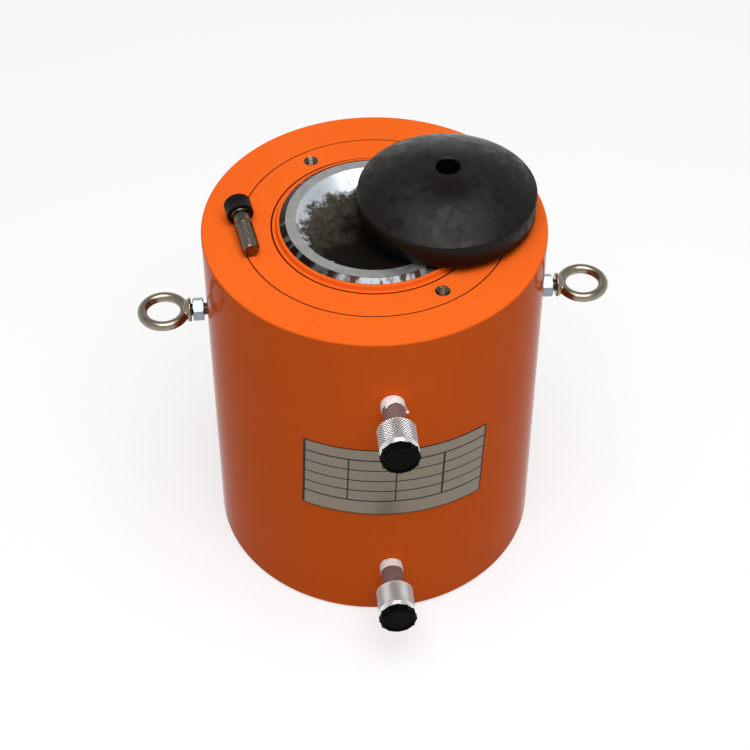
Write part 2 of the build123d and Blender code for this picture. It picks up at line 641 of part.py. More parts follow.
def coupler_collar():
    """Union collar: an inner flange behind the head, and an open threaded mouth in front."""
    outer = COLLAR_OD / 2
    neck_r = NECK_OD / 2 + COLLAR_CLEARANCE
    head_r = COUPLER_HEAD / 2 + COLLAR_CLEARANCE
    flange_front = COLLAR_BACK + COLLAR_FLANGE
    step_front = HEAD_FRONT - COLLAR_STEP_SETBACK
    return turned([
        (neck_r, COLLAR_BACK),
        (outer - COLLAR_REAR_CHAMFER, COLLAR_BACK),
        (outer, COLLAR_BACK + COLLAR_REAR_CHAMFER),
        (outer, COLLAR_FRONT - COLLAR_FRONT_CHAMFER),
        (outer - COLLAR_FRONT_CHAMFER, COLLAR_FRONT),
        (COLLAR_MOUTH / 2, COLLAR_FRONT),
        (COLLAR_MOUTH / 2, step_front),
        (head_r, step_front - COLLAR_STEP_TAPER),
        (head_r, flange_front),
        (neck_r, flange_front),
    ])


def poppet():
    """Cone valve: a stem that a mating half pushes, a guided land and a tail in the spring."""
    land_r = CHAMBER / 2 - POPPET_GUIDE_CLEARANCE
    cone_tip_r = ORIFICE / 2 - POPPET_GUIDE_CLEARANCE
    slope = (CHAMBER - ORIFICE) / 2 / SEAT_CONE_LENGTH
    cone_end = POPPET_FRONT + (land_r - cone_tip_r) / slope
    stem_end = NOSE_FRONT - SOCKET_DEPTH + POPPET_STEM_STANDOUT
    tail_end = RETAINER_FRONT + POPPET_TRAVEL
    return turned([
        (0, tail_end),
        (POPPET_TAIL / 2, tail_end),
        (POPPET_TAIL / 2, POPPET_BACK),
        (land_r, POPPET_BACK),
        (land_r, POPPET_FRONT),
        (cone_tip_r, cone_end),
        (POPPET_STEM / 2, cone_end),
        (POPPET_STEM / 2, stem_end - POPPET_STEM_EDGE),
        (POPPET_STEM / 2 - POPPET_STEM_EDGE, stem_end),
        (0, stem_end),
    ])


def poppet_spring():
    """Open coil between the retainer and the poppet's land."""
    length = POPPET_BACK - SPRING_BACK - SPRING_WIRE
    path = Helix(pitch=length / SPRING_TURNS, height=length, radius=SPRING_COIL / 2)
    section = Plane(path @ 0, z_dir=path % 0) * Circle(SPRING_WIRE / 2)
    return Pos(0, 0, SPRING_BACK + SPRING_WIRE / 2) * sweep(section, path)


def spring_retainer():
    """Drilled disc at the chamber's rear that the spring pushes on."""
    low = RETAINER_FRONT - RETAINER_THICKNESS
    plate = disc(CHAMBER / 2 - THREAD_CLEARANCE, low, RETAINER_FRONT)
    plate -= disc(RETAINER_BORE / 2, low, RETAINER_FRONT)
    hole = disc(RETAINER_HOLE / 2, low, RETAINER_FRONT)
    hole_circle = (CHAMBER + RETAINER_BORE) / 4
    for spot in PolarLocations(hole_circle, RETAINER_HOLE_COUNT):
        plate -= spot * hole
    return plate


def dust_cap():
    """Ribbed plastic cap with a hollow plug that fills the collar's mouth."""
    plug_r = COLLAR_MOUTH / 2 - COLLAR_CLEARANCE
    grip = disc(CAP_RADIUS, CAP_BACK, CAP_FRONT)
    rib_centre = CAP_RADIUS + CAP_RIB - CAP_RIB_WIDTH / 2
    rib = Pos(rib_centre, 0, 0) * disc(CAP_RIB_WIDTH / 2, CAP_BACK, CAP_FRONT - CAP_EDGE)
    for index in range(CAP_RIB_COUNT):
        grip += Rot(0, 0, index * 360 / CAP_RIB_COUNT) * rib
    grip -= turned([
        (CAP_RADIUS - CAP_EDGE, CAP_FRONT),
        (CAP_RADIUS + 1, CAP_FRONT),
        (CAP_RADIUS + 1, CAP_FRONT - CAP_EDGE - 1),
    ])
    grip -= disc(CAP_RADIUS - CAP_FACE_RIM, CAP_FRONT - CAP_FACE_RECESS, CAP_FRONT)
    plug = ring(plug_r - CAP_PLUG_WALL, plug_r, CAP_BACK - CAP_PLUG_LENGTH, CAP_BACK)
    hollow = disc(plug_r - CAP_PLUG_WALL, CAP_BACK, CAP_FRONT - CAP_FACE_RECESS - CAP_FLOOR)
    return (grip - hollow) + plug


def coupler(side, port_z):
    """All the pieces of one quick coupler half, at its port."""
    place = outward(port_z)
    save(place * coupler_body(), f"{side}_coupler_body")
    save(place * coupler_collar(), f"{side}_coupler_collar")
    save(place * poppet(), f"{side}_poppet")
    save(place * poppet_spring(), f"{side}_poppet_spring")
    save(place * spring_retainer(), f"{side}_spring_retainer")
    save(place * dust_cap(), f"{side}_dust_cap")
    stop_r = NECK_OD / 2 - STOP_RING_SINK + STOP_RING_WIRE / 2
    save(place * o_ring(stop_r, STOP_RING_WIRE - 0.05, stop_ring_station()), f"{side}_collar_stop_ring")
    socket_r = SOCKET / 2 + SOCKET_RING_WIRE / 4
    seal = o_ring(socket_r, SOCKET_RING_WIRE - 0.05, SOCKET_FLOOR + SOCKET_DEPTH / 2)
    save(place * seal, f"{side}_socket_o_ring")
    tape_low = NECK_OD / 2 - PORT_THREAD / 2
    tape = ring(NECK_OD / 2 + 0.02, NECK_OD / 2 + TAPE_THICKNESS, tape_low, tape_low + TAPE_LENGTH)
    save(place * tape, f"{side}_thread_tape")


def lifting_eyes():
    """An eye and its lock nut on each side, the nuts run out to different gaps."""
    for side, sign, standout in (("left", -1, NUT_STANDOUT_LEFT), ("right", 1, NUT_STANDOUT_RIGHT)):
        place = Pos(sign * BODY_R, 0, EYE_Z) * Rot(0, 90 * sign, 0)
        save(place * eye_bolt(), f"{side}_eye_bolt")
        save(place * Pos(0, 0, standout) * hex_nut(), f"{side}_eye_nut")


save(cylinder_body(), "cylinder_body")
save(gland_nut(), "gland_nut")
gland_seals()
save(plunger_rod(), "plunger_rod")
save(piston(), "piston")
piston_seals()
save(lock_screws(), "piston_lock_screws")
save(saddle(), "saddle")
save(saddle_screw(), "saddle_screw")
save(data_plate(), "data_plate")
lifting_eyes()
for port_name, port_height in PORT_HEIGHTS.items():
    coupler(port_name, port_height)
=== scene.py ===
# %% [markdown]
# # A short, heavy hydraulic cylinder, dressed in Blender
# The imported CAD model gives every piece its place. This lesson puts smooth skins over the pieces
# that show, and gives each one a material that starts from how the real surface was made.
# Sizes are written in millimetres, as on a drawing, and turned to metres when a mesh is made.

import bmesh
import bpy
import numpy as np
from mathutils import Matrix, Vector
from mathutils.geometry import tessellate_polygon


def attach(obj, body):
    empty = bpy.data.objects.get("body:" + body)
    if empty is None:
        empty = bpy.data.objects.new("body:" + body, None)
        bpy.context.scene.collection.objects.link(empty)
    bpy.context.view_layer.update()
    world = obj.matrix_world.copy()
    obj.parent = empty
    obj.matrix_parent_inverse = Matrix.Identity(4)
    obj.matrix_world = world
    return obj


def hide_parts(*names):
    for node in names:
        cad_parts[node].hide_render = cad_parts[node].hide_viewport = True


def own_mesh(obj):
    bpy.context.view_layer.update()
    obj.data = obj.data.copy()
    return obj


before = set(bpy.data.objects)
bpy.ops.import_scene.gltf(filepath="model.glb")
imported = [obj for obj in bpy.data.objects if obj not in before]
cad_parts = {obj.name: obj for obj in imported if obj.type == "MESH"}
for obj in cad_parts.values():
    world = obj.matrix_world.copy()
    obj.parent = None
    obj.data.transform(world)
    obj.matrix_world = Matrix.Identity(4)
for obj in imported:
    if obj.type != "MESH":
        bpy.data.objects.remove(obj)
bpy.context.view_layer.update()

# %% [markdown]
# ## The camera
# A camera can be found from a photograph when some true sizes are known. Here the barrel's two
# rims, the gland ring and the rod's rim were matched to circles, which gave the place, the aim
# and the focal length. Blender's camera looks along its own -Z, so it is tipped up by 90 degrees
# less the downward angle, and then turned about the vertical.

# %% Put the camera where the photograph was taken
MM = 0.001
lens = bpy.data.cameras.new("view_lens")
lens.lens = 90.67
lens.sensor_width = 36.0
lens.clip_start = 0.05
camera = bpy.data.objects.new("view", lens)
camera.location = (-0.12703, -1.27340, 1.46875)
camera.rotation_euler = (np.radians(90 - 45.493), 0.0, np.radians(-5.718))
bpy.context.scene.collection.objects.link(camera)
bpy.context.scene.camera = camera
print("camera at", list(camera.location))

# %% [markdown]
# ## Two small helpers for materials
# Colours are easiest to read as sRGB hex codes, but the shader works in linear light, so one
# function converts them. The other adds a node, sets its values and links its inputs, which keeps
# each material down to a few readable lines.

# %% Colour and node helpers
def linear(code):
    """Turn an sRGB hex code into linear RGBA: the sRGB curve undone channel by channel."""
    srgb = np.array([int(code[i:i + 2], 16) for i in (1, 3, 5)]) / 255
    value = np.where(srgb <= 0.04045, srgb / 12.92, ((srgb + 0.055) / 1.055) ** 2.4)
    return (*value.tolist(), 1.0)


def add(tree, kind, values=None, wires=None):
    """Add one node; values are its settings or unlinked inputs, wires are sockets to link in."""
    node = tree.nodes.new("ShaderNode" + kind)
    for key, value in (values or {}).items():
        if isinstance(key, str) and hasattr(node, key):
            setattr(node, key, value)
        else:
            node.inputs[key].default_value = value
    for key, socket in (wires or {}).items():
        tree.links.new(socket, node.inputs[key])
    return node


def start_material(name):
    """An empty node material with its output; returns the material and its tree."""
    material = bpy.data.materials.new(name)
    material.use_nodes = True
    material.node_tree.nodes.clear()
    return material, material.node_tree


def close_material(tree, shader):
    """Join the last shader to the material's output."""
    output = add(tree, "OutputMaterial")
    tree.links.new(shader.outputs[0], output.inputs["Surface"])


print("orange in linear light:", [round(v, 3) for v in linear("#FF7030")])

# %% [markdown]
# ## Helpers for shapes
# A turned part is a profile carried round an axis. Worked out with numpy as one array, the whole
# surface comes from x = r cos a, y = r sin a, z = h. A real edge is never perfectly sharp, and the
# small round on it is what catches the light, so a profile may ask for a round at each corner.

# %% Profiles, turned surfaces and flat faces
AROUND = 384


def rounded(profile, steps=5):
    """Profile corners (r, h, c): where c > 0, the corner becomes a curve that starts c before it.
    The curve is quadratic, P(t) = (1-t)^2 A + 2t(1-t) B + t^2 C, with one more point on each side
    so that the flats next to it keep a flat shading."""
    corners = np.array([(p[0], p[1]) for p in profile], float)
    cut = np.array([p[2] if len(p) > 2 else 0.0 for p in profile])
    line = []
    for i, b in enumerate(corners):
        if cut[i] == 0:
            line.append(b[None])
            continue
        back, ahead = corners[i - 1] - b, corners[(i + 1) % len(corners)] - b
        u, v = back / np.linalg.norm(back), ahead / np.linalg.norm(ahead)
        c = min(cut[i], 0.42 * np.linalg.norm(back), 0.42 * np.linalg.norm(ahead))
        t = np.linspace(0, 1, steps)[:, None]
        curve = (1 - t) ** 2 * (b + u * c) + 2 * t * (1 - t) * b + t ** 2 * (b + v * c)
        line += [(b + u * c * 1.15)[None], curve, (b + v * c * 1.15)[None]]
    return np.vstack(line)


def woven(points, close_rows=False, close_columns=True):
    """Faces over a grid of points: rows run along the profile, columns run round the axis."""
    rows, columns = points.shape[:2]
    index = np.arange(rows * columns).reshape(rows, columns)
    if close_rows:
        index = np.vstack([index, index[:1]])
    if close_columns:
        index = np.hstack([index, index[:, :1]])
    quads = np.stack([index[:-1, :-1], index[:-1, 1:], index[1:, 1:], index[1:, :-1]], -1)
    return points.reshape(-1, 3), quads.reshape(-1, 4)


def turned(profile, around=AROUND, closed=False, relief=None):
    """Carry (radius, height) points round Z; relief(angle, radius, height) is added to r."""
    line = np.asarray(profile, float)[:, :2]
    a = np.linspace(0, 2 * np.pi, around, endpoint=False)[None, :]
    r = line[:, :1] + 0 * a
    h = line[:, 1:] + 0 * a
    if relief is not None:
        r = r + relief(a, r, h)
    return woven(np.stack([r * np.cos(a), r * np.sin(a), h], -1), close_rows=closed)


def circle(radius, height, around=AROUND, centre=(0.0, 0.0)):
    """Points of a level circle, at the same angles as a turned surface has them."""
    a = np.linspace(0, 2 * np.pi, around, endpoint=False)
    x = centre[0] + radius * np.cos(a)
    y = centre[1] + radius * np.sin(a)
    return np.stack([x, y, np.full(around, float(height))], -1)


def flat_face(outer, holes, up=True):
    """A level face between an outer loop and holes, filled with triangles that face up or down."""
    loops = [outer] + holes
    points = np.vstack(loops)
    faces = np.array(tessellate_polygon([[Vector(p) for p in loop] for loop in loops]))
    a, b, c = points[faces[:, 0]], points[faces[:, 1]], points[faces[:, 2]]
    wrong = (np.cross(b - a, c - a)[:, 2] > 0) != up
    faces[wrong] = faces[wrong][:, ::-1]
    return points, faces


print("points round a turned part:", AROUND)

# %% [markdown]
# ## From surfaces to a piece
# A piece is a list of surfaces, each with the number of its material. Their shared edges are merged
# so that the shell is closed, faces are shaded smooth, and an edge that turns by more than 32
# degrees is kept sharp. Each piece then rides on its CAD body and stands for its CAD nodes.

# %% The piece maker
totals = {"pieces": 0, "triangles": 0}


def make_piece(name, surfaces, materials, body, nodes=(), place=None, sharp=32, flip=False):
    """Join surfaces (points, faces, material number) into one closed, smooth-shaded mesh."""
    points, faces, numbers, start = [], [], [], 0
    for verts, polygons, number in surfaces:
        points.append(verts if place is None else place(verts))
        faces += (polygons + start).tolist()
        numbers += [number] * len(polygons)
        start += len(verts)
    mesh = bpy.data.meshes.new(name)
    mesh.from_pydata((np.vstack(points) * MM).tolist(), [], faces)
    mesh.polygons.foreach_set("material_index", numbers)
    work = bmesh.new()
    work.from_mesh(mesh)
    bmesh.ops.remove_doubles(work, verts=work.verts, dist=2e-6)
    if flip:
        bmesh.ops.reverse_faces(work, faces=work.faces)
    work.to_mesh(mesh)
    open_edges = sum(1 for edge in work.edges if not edge.is_manifold)
    work.free()
    mesh.polygons.foreach_set("use_smooth", [True] * len(mesh.polygons))
    mesh.set_sharp_from_angle(angle=np.radians(sharp))
    for material in materials:
        mesh.materials.append(material)
    piece = bpy.data.objects.new(name, mesh)
    bpy.context.scene.collection.objects.link(piece)
    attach(piece, body)
    if nodes:
        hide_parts(*nodes)
    triangles = sum(len(p.vertices) - 2 for p in mesh.polygons)
    totals["pieces"] += 1
    totals["triangles"] += triangles
    print(f"{name}: {triangles} triangles, {open_edges} open edges")
    return piece


# %% [markdown]
# ## Orange enamel
# The barrel and the gland are sprayed with two-pack enamel over filler. It levels out almost like
# glass, but keeps a faint orange peel a few millimetres across, slow changes of film thickness, and
# now and then a speck of dust that fell into the wet coat. Its gloss is a plain dielectric sheen.

# %% Sprayed enamel
def sprayed_enamel(name, tone_a, tone_b, roughness):
    material, tree = start_material(name)
    coord = add(tree, "TexCoord").outputs["Object"]
    slow = add(tree, "TexNoise", {"Scale": 1 / (90 * MM), "Detail": 2.0}, {"Vector": coord})
    tone = add(tree, "Mix", {"data_type": "RGBA", 6: linear(tone_a), 7: linear(tone_b)},
               {0: slow.outputs["Fac"]})
    # dust nibs about 1.2 mm across, one for each cell of 26 mm that the surface happens to cut
    nib = add(tree, "TexVoronoi", {"Scale": 1 / (26 * MM)}, {"Vector": coord})
    near = add(tree, "MapRange", {"From Min": 0.018, "From Max": 0.030, "To Min": 0.8, "To Max": 0.0},
               {"Value": nib.outputs["Distance"]})
    paint = add(tree, "Mix", {"data_type": "RGBA", 7: linear("#5A2410")},
                {0: near.outputs["Result"], 6: tone.outputs[2]})
    peel = add(tree, "TexNoise", {"Scale": 1 / (3.2 * MM), "Detail": 1.0}, {"Vector": coord})
    bump = add(tree, "Bump", {"Strength": 0.10, "Distance": 0.05 * MM}, {"Height": peel.outputs["Fac"]})
    gloss = add(tree, "MapRange", {"To Min": roughness * 0.8, "To Max": roughness * 1.3},
                {"Value": slow.outputs["Fac"]})
    shader = add(tree, "BsdfPrincipled", {"IOR": 1.06},
                 {"Base Color": paint.outputs[2], "Roughness": gloss.outputs["Result"],
                  "Normal": bump.outputs["Normal"]})
    close_material(tree, shader)
    return material


enamel = sprayed_enamel("sprayed_orange_enamel", "#F86820", "#FF7026", 0.11)
# darker enamel for the joint groove, the gland's crease and the wiper's foot: a painted shade where they fall into
# shadow
crevice_shade = sprayed_enamel("crevice_with_painted_shade", "#4C1808", "#62220B", 0.4)
print(enamel.name, crevice_shade.name)

# %% [markdown]
# ## Machined and plated steels
# Every metal here is the same shader with another colour and finish. A lathe leaves rings about
# the part's axis, so the marks are bands of the distance from that axis. Chrome is ground after
# plating and shows almost none, bright zinc is a little milky, and cast stainless is lumpy.

# %% One recipe for metals
def metal(name, tone_a, tone_b, roughness, grain_mm=0.0, depth=0.0, lumps_mm=8.0, lump_depth=0.0,
          share=1.0, groove_shade=""):
    material, tree = start_material(name)
    coord = add(tree, "TexCoord").outputs["Object"]
    cloud = add(tree, "TexNoise", {"Scale": 1 / (lumps_mm * MM), "Detail": 4.0}, {"Vector": coord})
    tone = add(tree, "Mix", {"data_type": "RGBA", 6: linear(tone_a), 7: linear(tone_b)},
               {0: cloud.outputs["Fac"]})
    rough = add(tree, "MapRange", {"To Min": roughness * 0.7, "To Max": roughness * 1.35},
                {"Value": cloud.outputs["Fac"]})
    height = cloud.outputs["Fac"]
    distance = lump_depth
    if grain_mm:
        rings = add(tree, "TexWave", {"wave_type": "RINGS", "rings_direction": "Z",
                                      "Scale": 1 / (grain_mm * MM) / 20, "Distortion": 0.6,
                                      "Detail": 2.0, "Detail Scale": 2.0}, {"Vector": coord})
        height = rings.outputs["Fac"]
        distance = depth
    if groove_shade:
        # the piece's own attribute says how deep in a groove a point is, and the colour is darkened there as
        # painted shade
        deep = add(tree, "Attribute", {"attribute_name": groove_shade})
        tone = add(tree, "Mix", {"data_type": "RGBA", 7: linear("#1C2022")},
                   {0: deep.outputs["Fac"], 6: tone.outputs[2]})
    bump = add(tree, "Bump", {"Strength": 0.6, "Distance": max(distance, 0.002) * MM}, {"Height": height})
    shader = add(tree, "BsdfPrincipled", {"Metallic": share},
                 {"Base Color": tone.outputs[2], "Roughness": rough.outputs["Result"],
                  "Normal": bump.outputs["Normal"]})
    close_material(tree, shader)
    return material


chrome = metal("ground_hard_chrome", "#C4C7CA", "#D6D8DA", 0.07, lumps_mm=40)
rim_steel = metal("fine_turned_rim_steel", "#BCBDBA", "#D2D3CF", 0.36, grain_mm=0.9, depth=0.01)
neck_steel = metal("turned_phosphated_steel", "#7A7276", "#A59C9E", 0.22, lumps_mm=4, share=0.5)
zinc = metal("bright_zinc_plate", "#E2E6E6", "#F2F5F4", 0.22, lumps_mm=6, share=0.8, groove_shade="groove")
stainless = metal("cast_stainless_steel", "#857C6E", "#A89F90", 0.24, lumps_mm=5, lump_depth=0.12)
nut_steel = metal("tumbled_zinc_nut", "#7C868F", "#A2ABB3", 0.30, lumps_mm=4, lump_depth=0.01)
screw_shank = metal("rolled_bright_thread", "#544D45", "#837C72", 0.26, lumps_mm=5, lump_depth=0.02)
hole_steel = metal("tapped_hole_wall", "#4A382C", "#8C7868", 0.24, lumps_mm=2)
print("metals:", [m.name for m in (chrome, rim_steel, neck_steel, zinc, stainless, nut_steel)])

# %% [markdown]
# ## The stained dish
# The rod's end is turned to a hollow that the saddle tilts in. It is bare steel that held old
# grease: bright where it was wiped, blotched dark brown-grey where the grease stayed. The wiped
# steel's pale blue-white at the back is partly a painted reflection of the light; the darkening
# towards the front and the right is partly painted shade and a painted reflection of the saddle.
# Two noise patterns make it, one for the large blotches and one for the small flecks at their edge.

# %% Turned dish with old grease, painted shade and painted reflections
def dish_grease_and_shade():
    material, tree = start_material("turned_dish_grease_and_painted_shade")
    coord = add(tree, "TexCoord").outputs["Object"]
    blots = add(tree, "TexNoise", {"Scale": 1 / (16 * MM), "Detail": 6.0, "Roughness": 0.62},
                {"Vector": coord})
    flecks = add(tree, "TexNoise", {"Scale": 1 / (5 * MM), "Detail": 5.0, "Roughness": 0.7},
                 {"Vector": coord})
    # the grease fills a round pool whose middle lies in front of the dish's own, a little to the right
    flat = add(tree, "VectorMath", {"operation": "MULTIPLY", 1: (1, 1, 0)}, {0: coord})
    reach = add(tree, "VectorMath", {"operation": "DISTANCE", 1: (0.001, -0.013, 0)}, {0: flat.outputs[0]})
    wander = add(tree, "MapRange", {"From Min": 0.3, "From Max": 0.7, "To Min": -0.008, "To Max": 0.008},
                 {"Value": blots.outputs["Fac"]})
    ragged = add(tree, "MapRange", {"From Min": 0.3, "From Max": 0.7, "To Min": -0.005, "To Max": 0.005},
                 {"Value": flecks.outputs["Fac"]})
    shore = add(tree, "Math", {"operation": "ADD"}, {0: reach.outputs["Value"], 1: wander.outputs["Result"]})
    shore = add(tree, "Math", {"operation": "ADD"}, {0: shore.outputs[0], 1: ragged.outputs["Result"]})
    grease = add(tree, "MapRange", {"From Min": 0.071, "From Max": 0.063},
                 {"Value": shore.outputs[0]})
    # darker towards the front and the right: partly thicker grease, partly painted shade and the painted reflection
    # of the dark saddle
    depth = add(tree, "VectorMath", {"operation": "DOT_PRODUCT", 1: (12.5, -11.0, 0)}, {0: coord})
    grease_and_shade = add(tree, "Math", {"operation": "MULTIPLY_ADD", 1: 1.6}, {0: blots.outputs["Fac"],
                                                                       2: depth.outputs["Value"]})
    deep = add(tree, "MapRange", {"From Min": -0.05, "From Max": 0.70}, {"Value": grease_and_shade.outputs[0]})
    film = add(tree, "Mix", {"data_type": "RGBA", 6: linear("#4E493F"), 7: linear("#140E09")},
               {0: deep.outputs["Result"]})
    fleck_mix = add(tree, "MapRange", {"From Min": 0.48, "From Max": 0.66, "To Max": 0.8},
                    {"Value": flecks.outputs["Fac"]})
    mottled = add(tree, "Mix", {"data_type": "RGBA", 7: linear("#1E1914")},
                  {0: fleck_mix.outputs["Result"], 6: film.outputs[2]})
    # the wiped steel's pale blue-white tone is partly a painted reflection of the light
    wiped = add(tree, "Mix", {"data_type": "RGBA", 6: linear("#C0C8D0"), 7: linear("#DCE3E9")},
                {0: flecks.outputs["Fac"]})
    tone = add(tree, "Mix", {"data_type": "RGBA"}, {0: grease.outputs["Result"], 6: wiped.outputs[2],
                                                     7: mottled.outputs[2]})
    shine = add(tree, "MapRange", {"To Min": 0.30, "To Max": 0.50}, {"Value": grease.outputs["Result"]})
    bare = add(tree, "MapRange", {"To Min": 0.55, "To Max": 0.05}, {"Value": grease.outputs["Result"]})
    bump = add(tree, "Bump", {"Strength": 0.5, "Distance": 0.10 * MM}, {"Height": flecks.outputs["Fac"]})
    shader = add(tree, "BsdfPrincipled", {"IOR": 1.1},
                 {"Base Color": tone.outputs[2], "Roughness": shine.outputs["Result"],
                  "Metallic": bare.outputs["Result"], "Normal": bump.outputs["Normal"]})
    close_material(tree, shader)
    return material


def edge_painted_reflections():
    """Polished chrome with painted reflections: bright and nearly black patches some 12 mm long round the edge."""
    material, tree = start_material("polished_chrome_painted_reflections")
    coord = add(tree, "TexCoord").outputs["Object"]
    parts = add(tree, "SeparateXYZ", wires={"Vector": coord})
    angle = add(tree, "Math", {"operation": "ARCTAN2"}, {0: parts.outputs["X"], 1: parts.outputs["Y"]})
    # 82 mm of radius over 9 mm a patch; the height slants the patches' ends a little
    along = add(tree, "Math", {"operation": "MULTIPLY", 1: 82 / 9}, {0: angle.outputs[0]})
    lift = add(tree, "Math", {"operation": "MULTIPLY", 1: 1 / (14 * MM)}, {0: parts.outputs["Z"]})
    spot = add(tree, "CombineXYZ", wires={"X": along.outputs[0], "Y": lift.outputs[0]})
    patches = add(tree, "TexNoise", {"Scale": 1.0, "Detail": 2.0, "Roughness": 0.5}, {"Vector": spot.outputs[0]})
    # painted reflections: the bright patches lie in front and on the right, the left and the back are nearly all
    # dark
    place = add(tree, "VectorMath", {"operation": "DOT_PRODUCT", 1: (0.6, -0.8, 0)}, {0: coord})
    share = add(tree, "Math", {"operation": "ADD"}, {0: patches.outputs["Fac"], 1: place.outputs["Value"]})
    reflection_mask = add(tree, "MapRange", {"From Min": 0.50, "From Max": 0.60}, {"Value": share.outputs[0]})
    tone = add(tree, "Mix", {"data_type": "RGBA", 6: linear("#2E2119"), 7: linear("#6E7274")},
               {0: reflection_mask.outputs["Result"]})
    shader = add(tree, "BsdfPrincipled", {"Metallic": 1.0, "Roughness": 0.26}, {"Base Color": tone.outputs[2]})
    close_material(tree, shader)
    return material


edge_chrome = edge_painted_reflections()
dish_steel = dish_grease_and_shade()
print(dish_steel.name)

# %% [markdown]
# ## Black oxide
# The saddle and the screw are blackened in a hot salt bath and oiled. The skin follows the turning
# marks below it, so on the saddle's ball face a lamp spreads into a fan across the marks. An
# anisotropic gloss does that when its tangent runs round the saddle's own axis.

# %% Black oxide on the saddle and the screw
def black_oxide(name, tone_a, tone_b, roughness, spin=0.0, centre=(0, 0, 0), gloss=1.22):
    material, tree = start_material(name)
    coord = add(tree, "TexCoord").outputs["Object"]
    spot = add(tree, "Mapping", {"vector_type": "POINT", "Location": tuple(-c * MM for c in centre)},
               {"Vector": coord}).outputs["Vector"]
    cloud = add(tree, "TexNoise", {"Scale": 1 / (11 * MM), "Detail": 6.0, "Roughness": 0.7},
                {"Vector": spot})
    grit = add(tree, "TexNoise", {"Scale": 1 / (1.3 * MM), "Detail": 3.0}, {"Vector": spot})
    wear = cloud.outputs["Fac"]
    wires = {}
    if spin:
        round_axis = add(tree, "VectorMath", {"operation": "CROSS_PRODUCT", 0: (0, 0, 1)}, {1: spot})
        wires["Tangent"] = add(tree, "VectorMath", {"operation": "NORMALIZE"},
                               {0: round_axis.outputs[0]}).outputs[0]
    tone = add(tree, "Mix", {"data_type": "RGBA", 6: linear(tone_a), 7: linear(tone_b)}, {0: wear})
    rough = add(tree, "MapRange", {"From Min": 0.35, "From Max": 0.65, "To Min": roughness * 0.65,
                                   "To Max": roughness * 1.5}, {"Value": wear})
    bump = add(tree, "Bump", {"Strength": 0.35, "Distance": 0.03 * MM}, {"Height": grit.outputs["Fac"]})
    wires.update({"Base Color": tone.outputs[2], "Roughness": rough.outputs["Result"],
                  "Normal": bump.outputs["Normal"]})
    shader = add(tree, "BsdfPrincipled", {"IOR": gloss, "Anisotropic": spin}, wires)
    close_material(tree, shader)
    return material


SADDLE_CENTRE = (65.39, 5.26)
saddle_black = black_oxide("black_oxide_turned", "#090604", "#17120D", 0.36, 0.75, (*SADDLE_CENTRE, 0), 1.29)
screw_black = black_oxide("black_oxide_forged", "#0F0C0A", "#1A1613", 0.36)
print(saddle_black.name, screw_black.name)

# %% [markdown]
# ## Plastics, rubber and tape
# The dust caps are injection-moulded nylon with a light spark texture. The thread seal tape is thin
# stretched PTFE: dead white, waxy, and a little see-through where only one layer lies. The inner
# seals show only when the cylinder is taken apart, yet each keeps its own finish.

# %% Moulded and soft materials
def moulded(name, tone_a, tone_b, roughness, grain_mm, depth_mm, ior=1.5, wax=0.0):
    material, tree = start_material(name)
    coord = add(tree, "TexCoord").outputs["Object"]
    cloud = add(tree, "TexNoise", {"Scale": 1 / (9 * MM), "Detail": 3.0}, {"Vector": coord})
    tone = add(tree, "Mix", {"data_type": "RGBA", 6: linear(tone_a), 7: linear(tone_b)},
               {0: cloud.outputs["Fac"]})
    grain = add(tree, "TexNoise", {"Scale": 1 / (grain_mm * MM), "Detail": 2.0}, {"Vector": coord})
    bump = add(tree, "Bump", {"Strength": 0.6, "Distance": depth_mm * MM}, {"Height": grain.outputs["Fac"]})
    shader = add(tree, "BsdfPrincipled", {"Roughness": roughness, "IOR": ior, "Subsurface Weight": wax,
                                          "Subsurface Scale": 1.5 * MM},
                 {"Base Color": tone.outputs[2], "Normal": bump.outputs["Normal"]})
    close_material(tree, shader)
    return material


nylon = moulded("moulded_black_nylon", "#040403", "#0A0908", 0.45, 0.7, 0.03, 1.11)
tape_white = moulded("stretched_ptfe_tape", "#FAF6F0", "#FFFEFB", 0.50, 1.4, 0.12, 1.35, 0.2)
polyurethane = moulded("cast_polyurethane", "#8C9A3C", "#A5B04A", 0.35, 1.0, 0.01)
bronze_ptfe = moulded("bronze_filled_ptfe", "#6B5136", "#7F6243", 0.45, 0.6, 0.01)
nitrile = moulded("moulded_nitrile_rubber", "#121212", "#1B1B1A", 0.55, 0.8, 0.01)
spring_wire = metal("drawn_spring_wire", "#8D8F92", "#A8AAAC", 0.22, lumps_mm=3)
bored_steel = metal("machined_steel", "#94979A", "#AAADB0", 0.28, grain_mm=1.0, depth=0.01)
print("soft materials ready")

# %% [markdown]
# ## The data plate
# The plate is thin aluminium, satin anodised, with a ruled grid printed on it. The words are left
# out, so only the ruling stays. The grid follows the plate's own UV map, which is measured from its
# lower left corner as shares of its width and height. Steps in two colour ramps give the lines.

# %% Anodised plate with a ruled grid
PLATE_ROWS = (0.211, 0.369, 0.525, 0.685, 0.839)
PLATE_COLUMNS = (0.234, 0.495, 0.758)


